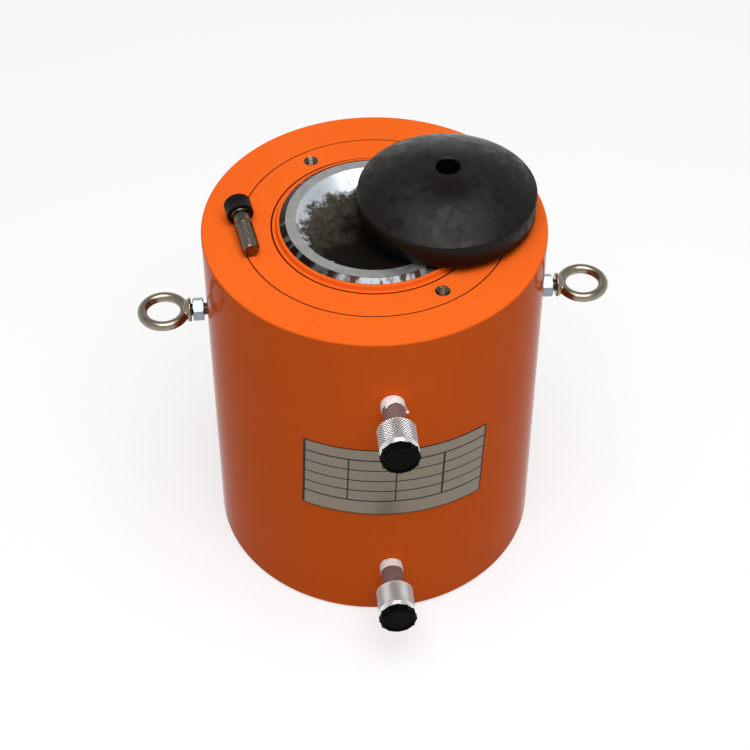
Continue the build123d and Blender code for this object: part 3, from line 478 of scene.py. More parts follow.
def anodised_plate():
    material, tree = start_material("anodised_aluminium_plate")
    uv = add(tree, "UVMap", {"uv_map": "plate"})
    place = add(tree, "SeparateXYZ", wires={"Vector": uv.outputs["UV"]})
    ramps = []
    for axis, lines, inside, half, edge in (("X", PLATE_COLUMNS, 0.5, 0.0042, 0.0095),
                                            ("Y", PLATE_ROWS, 0.0, 0.0090, 0.009)):
        ramp = add(tree, "ValToRGB", wires={"Fac": place.outputs[axis]}).color_ramp
        ramp.interpolation = "CONSTANT"
        stops = [(0.0, 1.0), (edge, 0.0)]
        for i, line in enumerate(lines):
            above = 0.5 if axis == "Y" and i < len(lines) - 1 else 0.0
            stops += [(line - half, inside or 1.0), (line + half, above)]
        stops += [(1 - edge, 1.0)]
        while len(ramp.elements) < len(stops):
            ramp.elements.new(0.5)
        for element, (position, value) in zip(ramp.elements, stops):
            element.position = position
            element.color = (value, value, value, 1.0)
        ramps.append(tree.nodes[-1].outputs["Color"])
    across, up = ramps
    border = add(tree, "Math", {"operation": "GREATER_THAN", 1: 0.75}, {0: across})
    level = add(tree, "Math", {"operation": "GREATER_THAN", 1: 0.75}, {0: up})
    upright = add(tree, "Math", {"operation": "GREATER_THAN", 1: 0.35}, {0: across})
    allowed = add(tree, "Math", {"operation": "GREATER_THAN", 1: 0.25}, {0: up})
    column = add(tree, "Math", {"operation": "MULTIPLY"}, {0: upright.outputs[0], 1: allowed.outputs[0]})
    frame_lines = add(tree, "Math", {"operation": "MAXIMUM"}, {0: border.outputs[0], 1: level.outputs[0]})
    ink = add(tree, "Math", {"operation": "MAXIMUM"}, {0: frame_lines.outputs[0], 1: column.outputs[0]})
    brush = add(tree, "Mapping", {"Scale": (12.0, 900.0, 1.0)}, {"Vector": uv.outputs["UV"]})
    streaks = add(tree, "TexNoise", {"Scale": 1.0, "Detail": 3.0}, {"Vector": brush.outputs["Vector"]})
    sheen = add(tree, "Mix", {"data_type": "RGBA", 6: linear("#7E7466"), 7: linear("#8E8476")},
                {0: streaks.outputs["Fac"]})
    tone = add(tree, "Mix", {"data_type": "RGBA", 7: linear("#171411")},
               {0: ink.outputs[0], 6: sheen.outputs[2]})
    metal_share = add(tree, "MapRange", {"To Min": 0.75, "To Max": 0.0}, {"Value": ink.outputs[0]})
    dull = add(tree, "MapRange", {"To Min": 0.34, "To Max": 0.75}, {"Value": ink.outputs[0]})
    shader = add(tree, "BsdfPrincipled", {},
                 {"Base Color": tone.outputs[2], "Metallic": metal_share.outputs["Result"],
                  "Roughness": dull.outputs["Result"]})
    close_material(tree, shader)
    return material


plate_metal = anodised_plate()
print(plate_metal.name)

# %% [markdown]
# ## The barrel
# The barrel is one thick tube with a closed base. Its skin is a turned profile, and only the base
# face needs more care because of its four screw holes: a face with holes is filled with triangles
# between its loops, and each hole gets a wall and a floor.

# %% Barrel with its base holes
BARREL_R, HEIGHT = 155.0, 360.0
BASE_HOLES = [(x, y) for x in (-67.175, 67.175) for y in (-67.175, 67.175)]
barrel_profile = rounded([
    (152, 0), (155, 3, 0.7), (155, 358.8, 0.7), (153.8, 360, 0.7), (121, 360, 0.3), (120.5, 359.5),
    (120, 359), (120, 312.5), (115, 312.5), (115, 62), (113, 60), (0, 60),
])
base_face = flat_face(circle(152, 0), [circle(7, 0, 48, spot) for spot in BASE_HOLES], up=False)
edge = len(barrel_profile) - 7
# the narrow band at the bottom of the joint's V groove takes the darker enamel, a painted shade
barrel_surfaces = [(*turned(barrel_profile[:edge + 1]), 0), (*turned(barrel_profile[edge:edge + 2]), 2),
                   (*turned(barrel_profile[edge + 1:]), 1), (*base_face, 0)]
for spot in BASE_HOLES:
    wall_points, wall_faces = turned([(0, 32), (7, 32), (7, 0)], 48)
    barrel_surfaces.append((wall_points + [*spot, 0], wall_faces, 1))
barrel = make_piece("barrel_skin", barrel_surfaces, [enamel, bored_steel, crevice_shade], "cylinder",
                    ["cylinder_body"])

# %% [markdown]
# ## The gland
# The gland is the big threaded ring that closes the barrel and guides the rod. It was sprayed in
# place, so paint covers its joint line. Two tapped holes take the pins of a turning tool; paint
# skips their edge, and the thread inside is a helix: the radius swings with height and angle.

# %% Gland ring with tapped holes
HOLE_ANGLE = np.radians(28)
GLAND_HOLES = [(s * 106 * np.sin(HOLE_ANGLE), -s * 106 * np.cos(HOLE_ANGLE)) for s in (1, -1)]


def thread(pitch, depth):
    """Relief of a thread: a triangle wave of height / pitch less one turn of the angle."""
    def relief(a, r, h):
        phase = (h / pitch - a / (2 * np.pi)) % 1.0
        return -depth * (1 - np.abs(2 * phase - 1))
    return relief


gland_outer = rounded([
    (87, 266), (113.9, 266), (114.9, 267), (114.9, 281.2), (111, 281.2), (111, 297.2), (114.9, 297.2),
    (114.9, 301.2), (110.6, 301.2), (110.6, 308.5), (114.9, 308.5), (114.9, 312.5), (119.95, 312.5),
    (119.95, 359), (119.45, 359.5),
])
gland_edge = rounded([(119.45, 359.5), (118.95, 360, 0.3), (118, 360)])
gland_inner = rounded([
    (92, 360), (92, 353), (85.1, 353), (85.1, 344.3), (88, 344.3), (88, 335.1),
    (85.1, 335.1), (85.1, 331.1), (94, 331.1), (94, 316.4), (85.1, 316.4), (85.1, 312.4), (88, 312.4),
    (88, 303.2), (85.1, 303.2), (85.1, 300.2), (87, 300.2), (87, 266),
])
gland_rim = [(94, 360), (93.0, 360)]
gland_crease = rounded([(93.0, 360), (92.6, 360, 0.1), (92, 359.4)])
gland_top = flat_face(circle(118, 360), [circle(94, 360)] + [circle(6.8, 360, 64, s) for s in GLAND_HOLES])
# the crease next to the wiper and the gland's hidden faces take the darker enamel, a painted shade
gland_surfaces = [(*turned(gland_outer), 2), (*turned(gland_edge), 0), (*gland_top, 0),
                  (*turned(gland_rim), 0), (*turned(gland_crease), 2),
                  (*turned([(92, 359.4)] + gland_inner.tolist()[1:]), 2)]
hole_rows = np.linspace(359.2, 338.5, 150)
for spot in GLAND_HOLES:
    mouth_points, mouth_faces = turned([(6.8, 360), (6.0, 359.2)], 64)
    wall_points, wall_faces = turned(np.column_stack([np.full(150, 6.0), hole_rows]), 64,
                                     relief=lambda a, r, h: thread(1.75, 0.9)(a, r, h) * (h < 359.1))
    floor_points = np.vstack([wall_points.reshape(150, 64, 3)[-1], [[0, 0, 338.5]]])
    floor_faces = np.array([[i, (i + 1) % 64, 64] for i in range(64)])
    gland_surfaces += [(mouth_points + [*spot, 0], mouth_faces, 1),
                       (wall_points + [*spot, 0], wall_faces, 1),
                       (floor_points + [*spot, 0], floor_faces, 1)]
gland = make_piece("gland_skin", gland_surfaces, [enamel, hole_steel, crevice_shade], "cylinder",
                   ["gland_nut"])

# %% [markdown]
# ## The wiper
# The wiper keeps dirt out of the gland. The painter didn't mask it, so its lip is orange too; the
# crease at its foot has a darker enamel, a painted shade. A closed profile makes a closed ring.

# %% Wiper ring
wiper_foot = [(91.4, 360), (91.9, 359.6), (91.9, 353.1), (85.05, 353.1), (85.05, 364.3)][::-1]
wiper_lip = rounded([(91.4, 360), (88.8, 360, 0.5), (87.6, 363.6, 0.5), (86.9, 364.4, 0.4), (85.15, 364.4, 0.1),
                     (85.05, 364.3)])
wiper = make_piece("wiper_skin", [(*turned(wiper_foot), 1), (*turned(wiper_lip), 0)], [enamel, crevice_shade],
                   "cylinder", ["rod_wiper"])

# %% [markdown]
# ## The rod
# One profile gives the chromed wall, the polished edge, the flat rim and the dish, whose hollow is
# an arc of a 130 mm ball: h = c - sqrt(130^2 - r^2). Three materials share the piece, one for each
# way it was finished, because a single one would need a mask just to tell them apart.

# %% Plunger rod
DISH_CENTRE = 477.045
dish_r = np.linspace(70, 7, 60)
dish_h = DISH_CENTRE - np.sqrt(130.0 ** 2 - dish_r ** 2)
rod_wall = rounded([
    (0, 60.3), (58, 60.3), (60, 62.3), (60, 104.8), (55.6, 104.8), (55.6, 109.8), (60, 109.8),
    (60, 115.3), (85, 115.3), (85, 364.2),
])
rod_edge = rounded([(85, 364.2), (85, 364.5, 0.15), (80, 367.5, 0.25), (79.5, 367.5)])
rod_rim = [(79.5, 367.5), (75, 367.5), (70.6, 367.5), (70, float(dish_h[0]))]
rod_dish = np.column_stack([dish_r, dish_h])
rod_hole = [(7, float(dish_h[-1])), (7, 307.04), (0, 307.04)]
rod = make_piece("rod_skin", [(*turned(rod_wall), 0), (*turned(rod_edge), 4), (*turned(rod_rim), 1),
                              (*turned(rod_dish), 2), (*turned(rod_hole), 3)],
                 [chrome, rim_steel, dish_steel, bored_steel, edge_chrome], "plunger", ["plunger_rod"])

# %% [markdown]
# ## The saddle
# The saddle lies upside down, ball face up. Its top is an arc of the same 130 mm ball as the dish,
# and its load face below has ring grooves, each a V in the profile.

# %% Saddle
SADDLE_LOW, SADDLE_RIM = 367.6, 389.6
BALL_CENTRE = SADDLE_RIM - np.sqrt(130.0 ** 2 - 80.0 ** 2)
ball_r = np.linspace(79.7, 12.2, 70)
ball = [(float(r), float(BALL_CENTRE + np.sqrt(130.0 ** 2 - r ** 2))) for r in ball_r]
load_face = []
for groove_r in (25, 36, 47, 58, 69):
    load_face += [(groove_r - 1, SADDLE_LOW), (groove_r, SADDLE_LOW + 1), (groove_r + 1, SADDLE_LOW)]
saddle_profile = rounded(
    [(14, SADDLE_LOW)] + load_face + [(79.2, SADDLE_LOW, 0.3), (80, SADDLE_LOW + 0.8, 0.3),
                                      (80, SADDLE_RIM - 0.25)] + ball
    + [(12, ball[-1][1] - 0.1), (11, ball[-1][1] - 1.2), (11, SADDLE_LOW + 19), (14, SADDLE_LOW + 19)])
saddle = make_piece("saddle_skin", [(*turned(saddle_profile, closed=True), 0)], [saddle_black], "saddle",
                    ["saddle"], place=lambda p: p + [*SADDLE_CENTRE, 0.0])

# %% [markdown]
# ## The saddle's screw
# A socket head cap screw is forged, its head is knurled, and its thread is rolled. The thread is a
# helix, so its radius depends on height / pitch less the share of a turn already made. The socket
# is a hexagon: its distance from the axis is the apothem / cos(angle from the middle of a side).

# %% Socket head screw
SCREW_AROUND = 240


def hexagon(a, apothem, turn=0.0):
    """Radius of a hexagon at angle a: apothem / cos(angle to the nearest flat's middle)."""
    return apothem / np.cos((a + turn) % (np.pi / 3) - np.pi / 6)


def screw_relief(a, r, h):
    """Knurl on the head, thread on the shank, both fading out at their ends."""
    knurl = -0.30 * np.abs(((a / (2 * np.pi) * 60) % 1) * 2 - 1) * ((h > -14) & (h < -1.2) & (r > 11))
    cut = np.clip((h - 14) / 1.5, 0, 1) * np.clip((44.9 - h) / 1.5, 0, 1)
    return knurl + np.where(h > 14, thread(2.0, 1.15)(a, r, h) * cut, 0)


def lying_screw(points):
    """Turn the upright screw to the way it lies: about X, then about Z, then to its spot."""
    tip, heading = np.radians(95.25), np.radians(9.2)
    about_x = np.array([[1, 0, 0], [0, np.cos(tip), -np.sin(tip)], [0, np.sin(tip), np.cos(tip)]])
    about_z = np.array([[np.cos(heading), -np.sin(heading), 0], [np.sin(heading), np.cos(heading), 0],
                        [0, 0, 1]])
    return points @ (about_z @ about_x).T + [-118.62, 9.54, 372.05]


screw_head = rounded([(10.9, -16), (12, -14.8, 0.4), (12, -14.2), (12, -13.9), (12, -1.4), (12, -1.0),
                      (12, 0, 0.5), (7.9, 0)])
screw_body = [(7.9, 0), (7.45, 0.6), (7.35, 7), (7.35, 13), (7.95, 14)]
screw_body += [(7.95, float(h)) for h in np.linspace(14.1, 43.4, 150)] + [(6.5, 45.0), (0, 45.0)]
socket_angles = np.linspace(0, 2 * np.pi, 48, endpoint=False)
socket_r = hexagon(socket_angles, 7.0)
socket_loop = np.stack([socket_r * np.cos(socket_angles), socket_r * np.sin(socket_angles)], -1)
socket_rows = np.stack([np.column_stack([socket_loop * k, np.full(48, z)])
                        for k, z in ((0.0, -7.0), (0.55, -7.6), (1.0, -8.0), (1.0, -15.7), (1.03, -16.0))])
screw = make_piece(
    "saddle_screw_skin",
    [(*turned(screw_head, SCREW_AROUND, relief=screw_relief), 0),
     (*turned(screw_body, SCREW_AROUND, relief=screw_relief), 1),
     (*flat_face(circle(10.9, -16, SCREW_AROUND), [socket_rows[-1]], up=False), 0),
     (*woven(socket_rows), 0)],
    [screw_black, screw_shank], "saddle_screw", ["saddle_screw"], place=lying_screw)

# %% [markdown]
# ## Lifting eyes
# A cast eye bolt has no edge between ring and collar: the metal flows from one to the other. Two
# simple turned shapes are laid through each other, a voxel remesh turns them into one skin, and
# smoothing rolls the corner between them into a fillet. The thread is added after that.

# %% Eye bolts
RING_CENTRE, RING_R, WIRE_R = 39.9, 19.6, 4.6


def torus(major, minor, around=120, section=40):
    """Ring in the YZ plane: (minor sin b, (major + minor cos b) cos a, (major + minor cos b) sin a)."""
    a = np.linspace(0, 2 * np.pi, around, endpoint=False)[None, :]
    b = np.linspace(0, 2 * np.pi, section, endpoint=False)[:, None]
    reach = major + minor * np.cos(b)
    return woven(np.stack([minor * np.sin(b) + 0 * a, reach * np.cos(a), reach * np.sin(a)], -1)[::-1],
                 close_rows=True)


def one_skin(surfaces, voxel, smoothing):
    """Points and faces of the voxel union of closed shells, smoothed; all in millimetres."""
    count, points, faces = 0, [], []
    for verts, polygons in surfaces:
        points.append(verts)
        faces += (polygons + count).tolist()
        count += len(verts)
    mesh = bpy.data.meshes.new("blank")
    mesh.from_pydata(np.vstack(points).tolist(), [], faces)
    blank = bpy.data.objects.new("blank", mesh)
    bpy.context.scene.collection.objects.link(blank)
    remesh = blank.modifiers.new("union", "REMESH")
    remesh.mode = "VOXEL"
    remesh.voxel_size = voxel
    soften = blank.modifiers.new("soften", "SMOOTH")
    soften.factor = 0.5
    soften.iterations = smoothing
    skin = blank.evaluated_get(bpy.context.evaluated_depsgraph_get()).to_mesh()
    verts = np.empty(len(skin.vertices) * 3)
    skin.vertices.foreach_get("co", verts)
    polygons = np.array([tuple(p.vertices) for p in skin.polygons])
    blank.to_mesh_clear()
    bpy.data.objects.remove(blank)
    return verts.reshape(-1, 3), polygons


eye_collar = rounded([(0, 14.5), (10.6, 14.5), (11.25, 15.3), (11.25, 16.4), (10.4, 17.8), (7.8, 21.4),
                      (4, 22.5), (0, 22.5)])
ring_points, ring_faces = torus(RING_R, WIRE_R)
eye_blank = one_skin([(ring_points + [0, 0, RING_CENTRE], ring_faces), turned(eye_collar, 96)], 0.55, 8)
eye_shank = [(0, -20), (5, -20)] + [(6, float(h)) for h in np.linspace(-19, 14.3, 160)] + [(6, 15), (0, 15)]
PLACES = {"right": lambda p: np.stack([155 + p[:, 2], p[:, 1], 270 - p[:, 0]], -1),
          "left": lambda p: np.stack([-155 - p[:, 2], p[:, 1], 270 + p[:, 0]], -1)}
for side, place in PLACES.items():
    relief = lambda a, r, h: np.where((h > -19.5) & (h < 14.4) & (r > 5.5), thread(1.75, 0.95)(a, r, h), 0)
    make_piece(f"{side}_eye_skin", [(*eye_blank, 0), (*turned(eye_shank, 64, relief=relief), 0)],
               [stainless], "cylinder", [f"{side}_eye_bolt"], place=place, sharp=50)

# %% [markdown]
# ## Lock nuts
# A hexagon nut is a hexagon bar with its corners turned off at 30 degrees, so its radius is the
# smaller of two: the hexagon's, and a cone's that grows from each end face. Where the two meet, the
# curved edges that every nut has come out by themselves.

# %% Lock nuts
def lock_nut(foot, turn):
    """Closed ring from height foot to foot + 10: outer radius = min(hexagon, cone), bore 6.05."""
    a = np.linspace(0, 2 * np.pi, 240, endpoint=False)[None, :]
    d = np.concatenate([[0.0, 0.12], np.linspace(0.3, 1.4, 8), [5.0], np.linspace(8.6, 9.7, 8), [9.88, 10.0]])
    d = d[:, None]
    end = np.minimum(d, 10 - d)
    cone = 9.35 + 1.75 * end - 0.08 * np.exp(-end / 0.1)
    outer = np.minimum(hexagon(a, 9.5, turn), cone)
    rows = [np.stack([outer * np.cos(a), outer * np.sin(a), foot + d + 0 * a], -1)]
    for r, h in ((6.9, 10.0), (6.05, 9.4), (6.05, 0.6), (6.9, 0.0)):
        rows.append(np.stack([r * np.cos(a), r * np.sin(a), foot + h + 0 * a], -1))
    return woven(np.concatenate(rows), close_rows=True)


for side, foot in (("left", 3.0), ("right", 1.2)):
    make_piece(f"{side}_nut_skin", [(*lock_nut(foot, 0.0), 0)], [nut_steel], "cylinder",
               [f"{side}_eye_nut"], place=PLACES[side], sharp=20)

# %% [markdown]
# ## The plate on the barrel
# The plate is bent to the barrel. Its point (u, v) is laid out flat, leaned by 2.1 degrees, and
# wrapped: y = -sqrt(R^2 - x^2). The same map run backwards gives each vertex its UV, so the ruled
# grid leans with the plate.

# %% Data plate
PLATE_HALF, PLATE_TALL, PLATE_MIDDLE = 82.9, 86.6, 185.0
LEAN, SWING = np.radians(2.1), np.radians(1.8)


def plate_sheet(radius, u, v):
    """Map shares (u, v) of the flat plate to the barrel: lean, wrap on the radius, swing about Z."""
    flat_x, flat_z = (2 * u - 1) * PLATE_HALF, (v - 0.5) * PLATE_TALL
    x = flat_x * np.cos(LEAN) + flat_z * np.sin(LEAN)
    z = -flat_x * np.sin(LEAN) + flat_z * np.cos(LEAN) + PLATE_MIDDLE
    y = -np.sqrt(radius ** 2 - x ** 2)
    return np.stack([x * np.cos(SWING) - y * np.sin(SWING), x * np.sin(SWING) + y * np.cos(SWING), z], -1)


u, v = np.meshgrid(np.linspace(0, 1, 121), np.linspace(0, 1, 13))
front_points, front_faces = woven(plate_sheet(155.65, u, v), close_columns=False)
back_points, back_faces = woven(plate_sheet(155.05, u, v), close_columns=False)
side_u = np.concatenate([u[0], np.ones(11), u[0, ::-1], np.zeros(11)])
side_v = np.concatenate([np.zeros(121), v[1:-1, 0], np.ones(121), v[1:-1, 0][::-1]])
edge = np.stack([plate_sheet(155.05, side_u, side_v), plate_sheet(155.65, side_u, side_v)])
plate = make_piece("data_plate_skin", [(front_points, front_faces, 0), (back_points, back_faces[:, ::-1], 0),
                                       (*woven(edge), 0)],
                   [plate_metal], "cylinder", ["data_plate"])
places = np.empty(len(plate.data.vertices) * 3)
plate.data.vertices.foreach_get("co", places)
x, y, z = (places.reshape(-1, 3) / MM).T
x, z = x * np.cos(SWING) + y * np.sin(SWING), z - PLATE_MIDDLE
uv = np.stack([(x * np.cos(LEAN) - z * np.sin(LEAN)) / (2 * PLATE_HALF) + 0.5,
               (x * np.sin(LEAN) + z * np.cos(LEAN)) / PLATE_TALL + 0.5], -1)
corner_vertex = np.empty(len(plate.data.loops), dtype=np.int32)
plate.data.loops.foreach_get("vertex_index", corner_vertex)
plate.data.uv_layers.new(name="plate").data.foreach_set("uv", uv[corner_vertex].ravel())
print("plate UV from", uv.min(0).round(3), "to", uv.max(0).round(3))

# %% [markdown]
# ## Quick couplers
# Both couplers are the same set of turned parts on an axis that points straight out of the barrel,
# so one loop makes them at two heights. The collar's diamond knurl is two sets of grooves that
# cross: each is a wave of (share of a turn x lines) plus or minus (length / pitch), and the deeper
# of the two counts. The cap's ribs are small circles added to its radius.

# %% Coupler profiles
# a real collar this size has lines 1.6 mm apart; 2.8 mm apart is the finest that the view can show
KNURL_LINES, KNURL_LEAD, KNURL_FROM, KNURL_TO = 38, 2.8, 33.4, 55.2


def knurl(a, r, h):
    """Two crossing groove sets, 0.5 deep, only on the collar's outside between its plain bands."""
    lead = h / KNURL_LEAD
    depth = 0
    for way in (1, -1):
        wave = (a / (2 * np.pi) * KNURL_LINES + way * lead) % 1
        depth = np.maximum(depth, 1 - np.abs(wave - 0.5) * 4)
    edge = np.clip((h - KNURL_FROM) / 0.3, 0, 1) * np.clip((KNURL_TO - h) / 0.3, 0, 1) * (r > 16.9)
    return -0.5 * np.clip(depth, 0, 1) * edge


def grip(a, r, h):
    """Ribs: the far side of a circle of radius 1.7 centred 15.9 out, where that passes the cap."""
    off = (a + np.pi / 12) % (np.pi / 6) - np.pi / 12
    inside = np.clip(1.7 ** 2 - (15.9 * np.sin(off)) ** 2, 0, None)
    rib = 15.9 * np.cos(off) + np.sqrt(inside)
    fade = np.clip((67.0 - h) / 0.7, 0, 1)
    return np.where((inside > 0) & (r > 16.5) & (h > 60.6), np.clip(rib - 16.6, 0, None) * fade, 0)


NECK, COLLAR_FRONT, CAP_BACK, CAP_FRONT = 31.6, 60.0, 60.4, 67.6
HEAD, NOSE = NECK + 3.75, NECK + 19.75
body_profile = rounded([
    (6.2, -13), (8.144, -13), (8.55, 0), (10, 1.45, 0.3), (10, NECK - 3.1, 0.3), (9.6, NECK - 2.7),
    (9.3, NECK - 2.1), (9.3, NECK - 0.6), (9.6, NECK), (10, NECK + 0.4), (10, HEAD), (14, HEAD, 0.2),
    (14, NOSE - 3, 0.2), (12, NOSE - 3), (12, NOSE, 0.3), (7.5, NOSE, 0.2), (7.5, NOSE - 1.65),
    (7.85, NOSE - 1.85), (8.25, NOSE - 2.5), (7.85, NOSE - 3.15), (7.5, NOSE - 3.35), (7.5, NOSE - 5),
    (3.5, NOSE - 5), (3.5, NOSE - 7), (6.2, NOSE - 9.4),
])
collar_profile = [(10.25, NECK), (15.4, NECK), (15.65, NECK + 0.08), (16.85, NECK + 1.3), (17, NECK + 1.6)]
collar_profile += [(17.0, float(h)) for h in np.linspace(KNURL_FROM - 0.1, KNURL_TO + 0.1, 112)]
collar_profile += [(17, COLLAR_FRONT - 4.4), (16.6, COLLAR_FRONT - 4.2), (16.35, COLLAR_FRONT - 3.9),
                   (16.35, COLLAR_FRONT - 3.4), (16.6, COLLAR_FRONT - 3.1), (17, COLLAR_FRONT - 2.9),
                   (17, COLLAR_FRONT - 2.0), (16.9, COLLAR_FRONT - 1.65), (15.35, COLLAR_FRONT - 0.1),
                   (15.2, COLLAR_FRONT), (15.0, COLLAR_FRONT - 0.05)]
collar_profile += [(15.0, float(h)) for h in np.linspace(COLLAR_FRONT - 0.2, NOSE - 4.6, 60)]
collar_profile += [(15, NOSE - 5), (14.25, NOSE - 6), (14.25, NECK + 3.5), (10.25, NECK + 3.5)]
poppet_profile = rounded([
    (0, -4), (2, -4), (2, NOSE - 12.55), (5.9, NOSE - 12.55), (5.9, NOSE - 9.55), (3.2, NOSE - 7.15),
    (2.25, NOSE - 7.15), (2.25, NOSE - 4.5), (1.75, NOSE - 4), (0, NOSE - 4),
])
cap_profile = rounded([
    (0, CAP_FRONT - 3.8), (12.75, CAP_FRONT - 3.8), (12.75, CAP_BACK - 5.5), (14.75, CAP_BACK - 5.5, 0.3),
    (14.75, CAP_BACK), (16.45, CAP_BACK), (16.6, CAP_BACK + 0.3), (16.6, CAP_BACK + 2), (16.6, CAP_BACK + 4),
    (16.6, CAP_FRONT - 1.35), (16.55, CAP_FRONT - 1.15), (15.6, CAP_FRONT - 0.15), (15.35, CAP_FRONT),
    (14.1, CAP_FRONT), (13.9, CAP_FRONT - 0.1), (13.8, CAP_FRONT - 0.8), (0, CAP_FRONT - 0.8),
])


def coil_spring(radius, wire, turns, low, high):
    """Tube along a helix: its middle rises evenly from low to high while the angle makes its turns;
    round it lies a circle of the wire's radius, spanned by the outward and the upward direction."""
    a = np.linspace(0, 2 * np.pi * turns, 36 * turns + 1)
    a = np.concatenate([a[:1], a, a[-1:]])[None, :]
    b = np.linspace(0, 2 * np.pi, 14, endpoint=False)[:, None]
    share = np.ones(a.shape)
    share[0, [0, -1]] = 0
    r = radius + wire / 2 * np.cos(b) * share
    h = low + (high - low) * a / a.max() + wire / 2 * np.sin(b) * share
    return woven(np.stack([r * np.cos(a), r * np.sin(a), h], -1), close_rows=True, close_columns=False)


def stop_ring(angle_count=160, section=20):
    """Ring of round wire, 2.15 thick and 10.4 out, lying in the neck's groove."""
    b = np.linspace(0, 2 * np.pi, section, endpoint=False)
    return turned(np.column_stack([10.4 + 1.075 * np.cos(b), NECK - 1.35 + 1.075 * np.sin(b)]), angle_count,
                  closed=True)


def tape_wrap(seed):
    """Wound tape: outer radius and both edges waver with the angle, as sums of a few sines."""
    rng = np.random.default_rng(seed)
    a = np.linspace(0, 2 * np.pi, 288, endpoint=False)[None, :]
    shape = lambda low, high: sum(rng.uniform(0.4, 1) * np.sin(k * a + rng.uniform(0, 6.28)) / k ** 0.6
                                  for k in range(low, high)) / 2.2
    t = np.linspace(0, 1, 26)[:, None]
    foot, top = 0.75 + 0.25 * shape(2, 22), 9.4 + 0.35 * shape(2, 26)
    layers = 0.12 * ((4 * t + a / (2 * np.pi)) % 1) + 0.10 * shape(3, 18)
    outer = np.clip(10.62 + layers + 0.22 * np.sin(np.pi * t), 10.2, 10.98)
    outer = outer - 0.3 * (np.abs(2 * t - 1) > 0.97)
    wall = np.stack([outer * np.cos(a), outer * np.sin(a), foot + (top - foot) * t], -1)
    inner = np.stack([10.03 * np.cos(a) + 0 * t[:2], 10.03 * np.sin(a) + 0 * t[:2],
                      np.concatenate([top - 0.1, foot + 0.1])], -1)
    return woven(np.concatenate([wall, inner]), close_rows=True)


def tape_end(angles, stations, radii, width):
    """A loose end: its middle line runs through (angle, station, radius), smoothed by a cubic fit;
    across it lies a flat strip 0.25 thick that narrows to a tip at both ends."""
    t = np.linspace(0, 1, 40)
    knots = np.linspace(0, 1, len(angles))
    a, h, r = (np.polyval(np.polyfit(knots, values, 3), t) for values in (np.radians(angles), stations, radii))
    along = np.stack([np.gradient(a) * r, np.gradient(h)], -1)
    along /= np.linalg.norm(along, axis=1, keepdims=True)
    half = 0.5 * width * np.sin(np.pi * np.clip(0.12 + 0.76 * t, 0, 1)) ** 0.5 * np.where((t == 0) | (t == 1), 0, 1)
    rows = []
    for side_way, lift in ((-1, 0), (1, 0), (1, 0.25), (-1, 0.25)):
        turn, reach = a - side_way * half * along[:, 1] / r, r + lift * (half > 0)
        rows.append(np.stack([reach * np.cos(turn), reach * np.sin(turn), h + side_way * half * along[:, 0]], -1))
    return woven(np.stack(rows), close_rows=True, close_columns=False)


def bead(angle, station, radius, size=1.35):
    """A rolled-up scrap of tape: a ball whose radius ripples by a tenth as sin 3u sin 5v."""
    u, v = np.meshgrid(np.linspace(0, 2 * np.pi, 32, endpoint=False), np.linspace(0, np.pi, 17))
    r = size * (1 + 0.1 * np.sin(3 * u) * np.sin(5 * v))
    ball = np.stack([r * np.sin(v) * np.cos(u), r * np.sin(v) * np.sin(u), -r * np.cos(v)], -1)
    a = np.radians(angle)
    return woven(ball + [radius * np.cos(a), radius * np.sin(a), station])


print("collar rows:", len(collar_profile), "knurl pitch:", round(2 * np.pi * 17 / KNURL_LINES, 2), "mm")

# %% Couplers at both ports
def on_port(port_z):
    """Local Z points out of the barrel's front at the port's height."""
    return lambda p: np.stack([p[:, 0], -BARREL_R - p[:, 2], port_z + p[:, 1]], -1)


def mouth_thread(a, r, h):
    """The knurl outside, and a fine thread 0.4 deep in the collar's open mouth."""
    inside = (r < 15.05) & (r > 14.95) & (h > NOSE - 4.5) & (h < COLLAR_FRONT - 0.25)
    return knurl(a, r, h) + np.where(inside, -thread(1.5, 0.4)(a, r, h), 0)


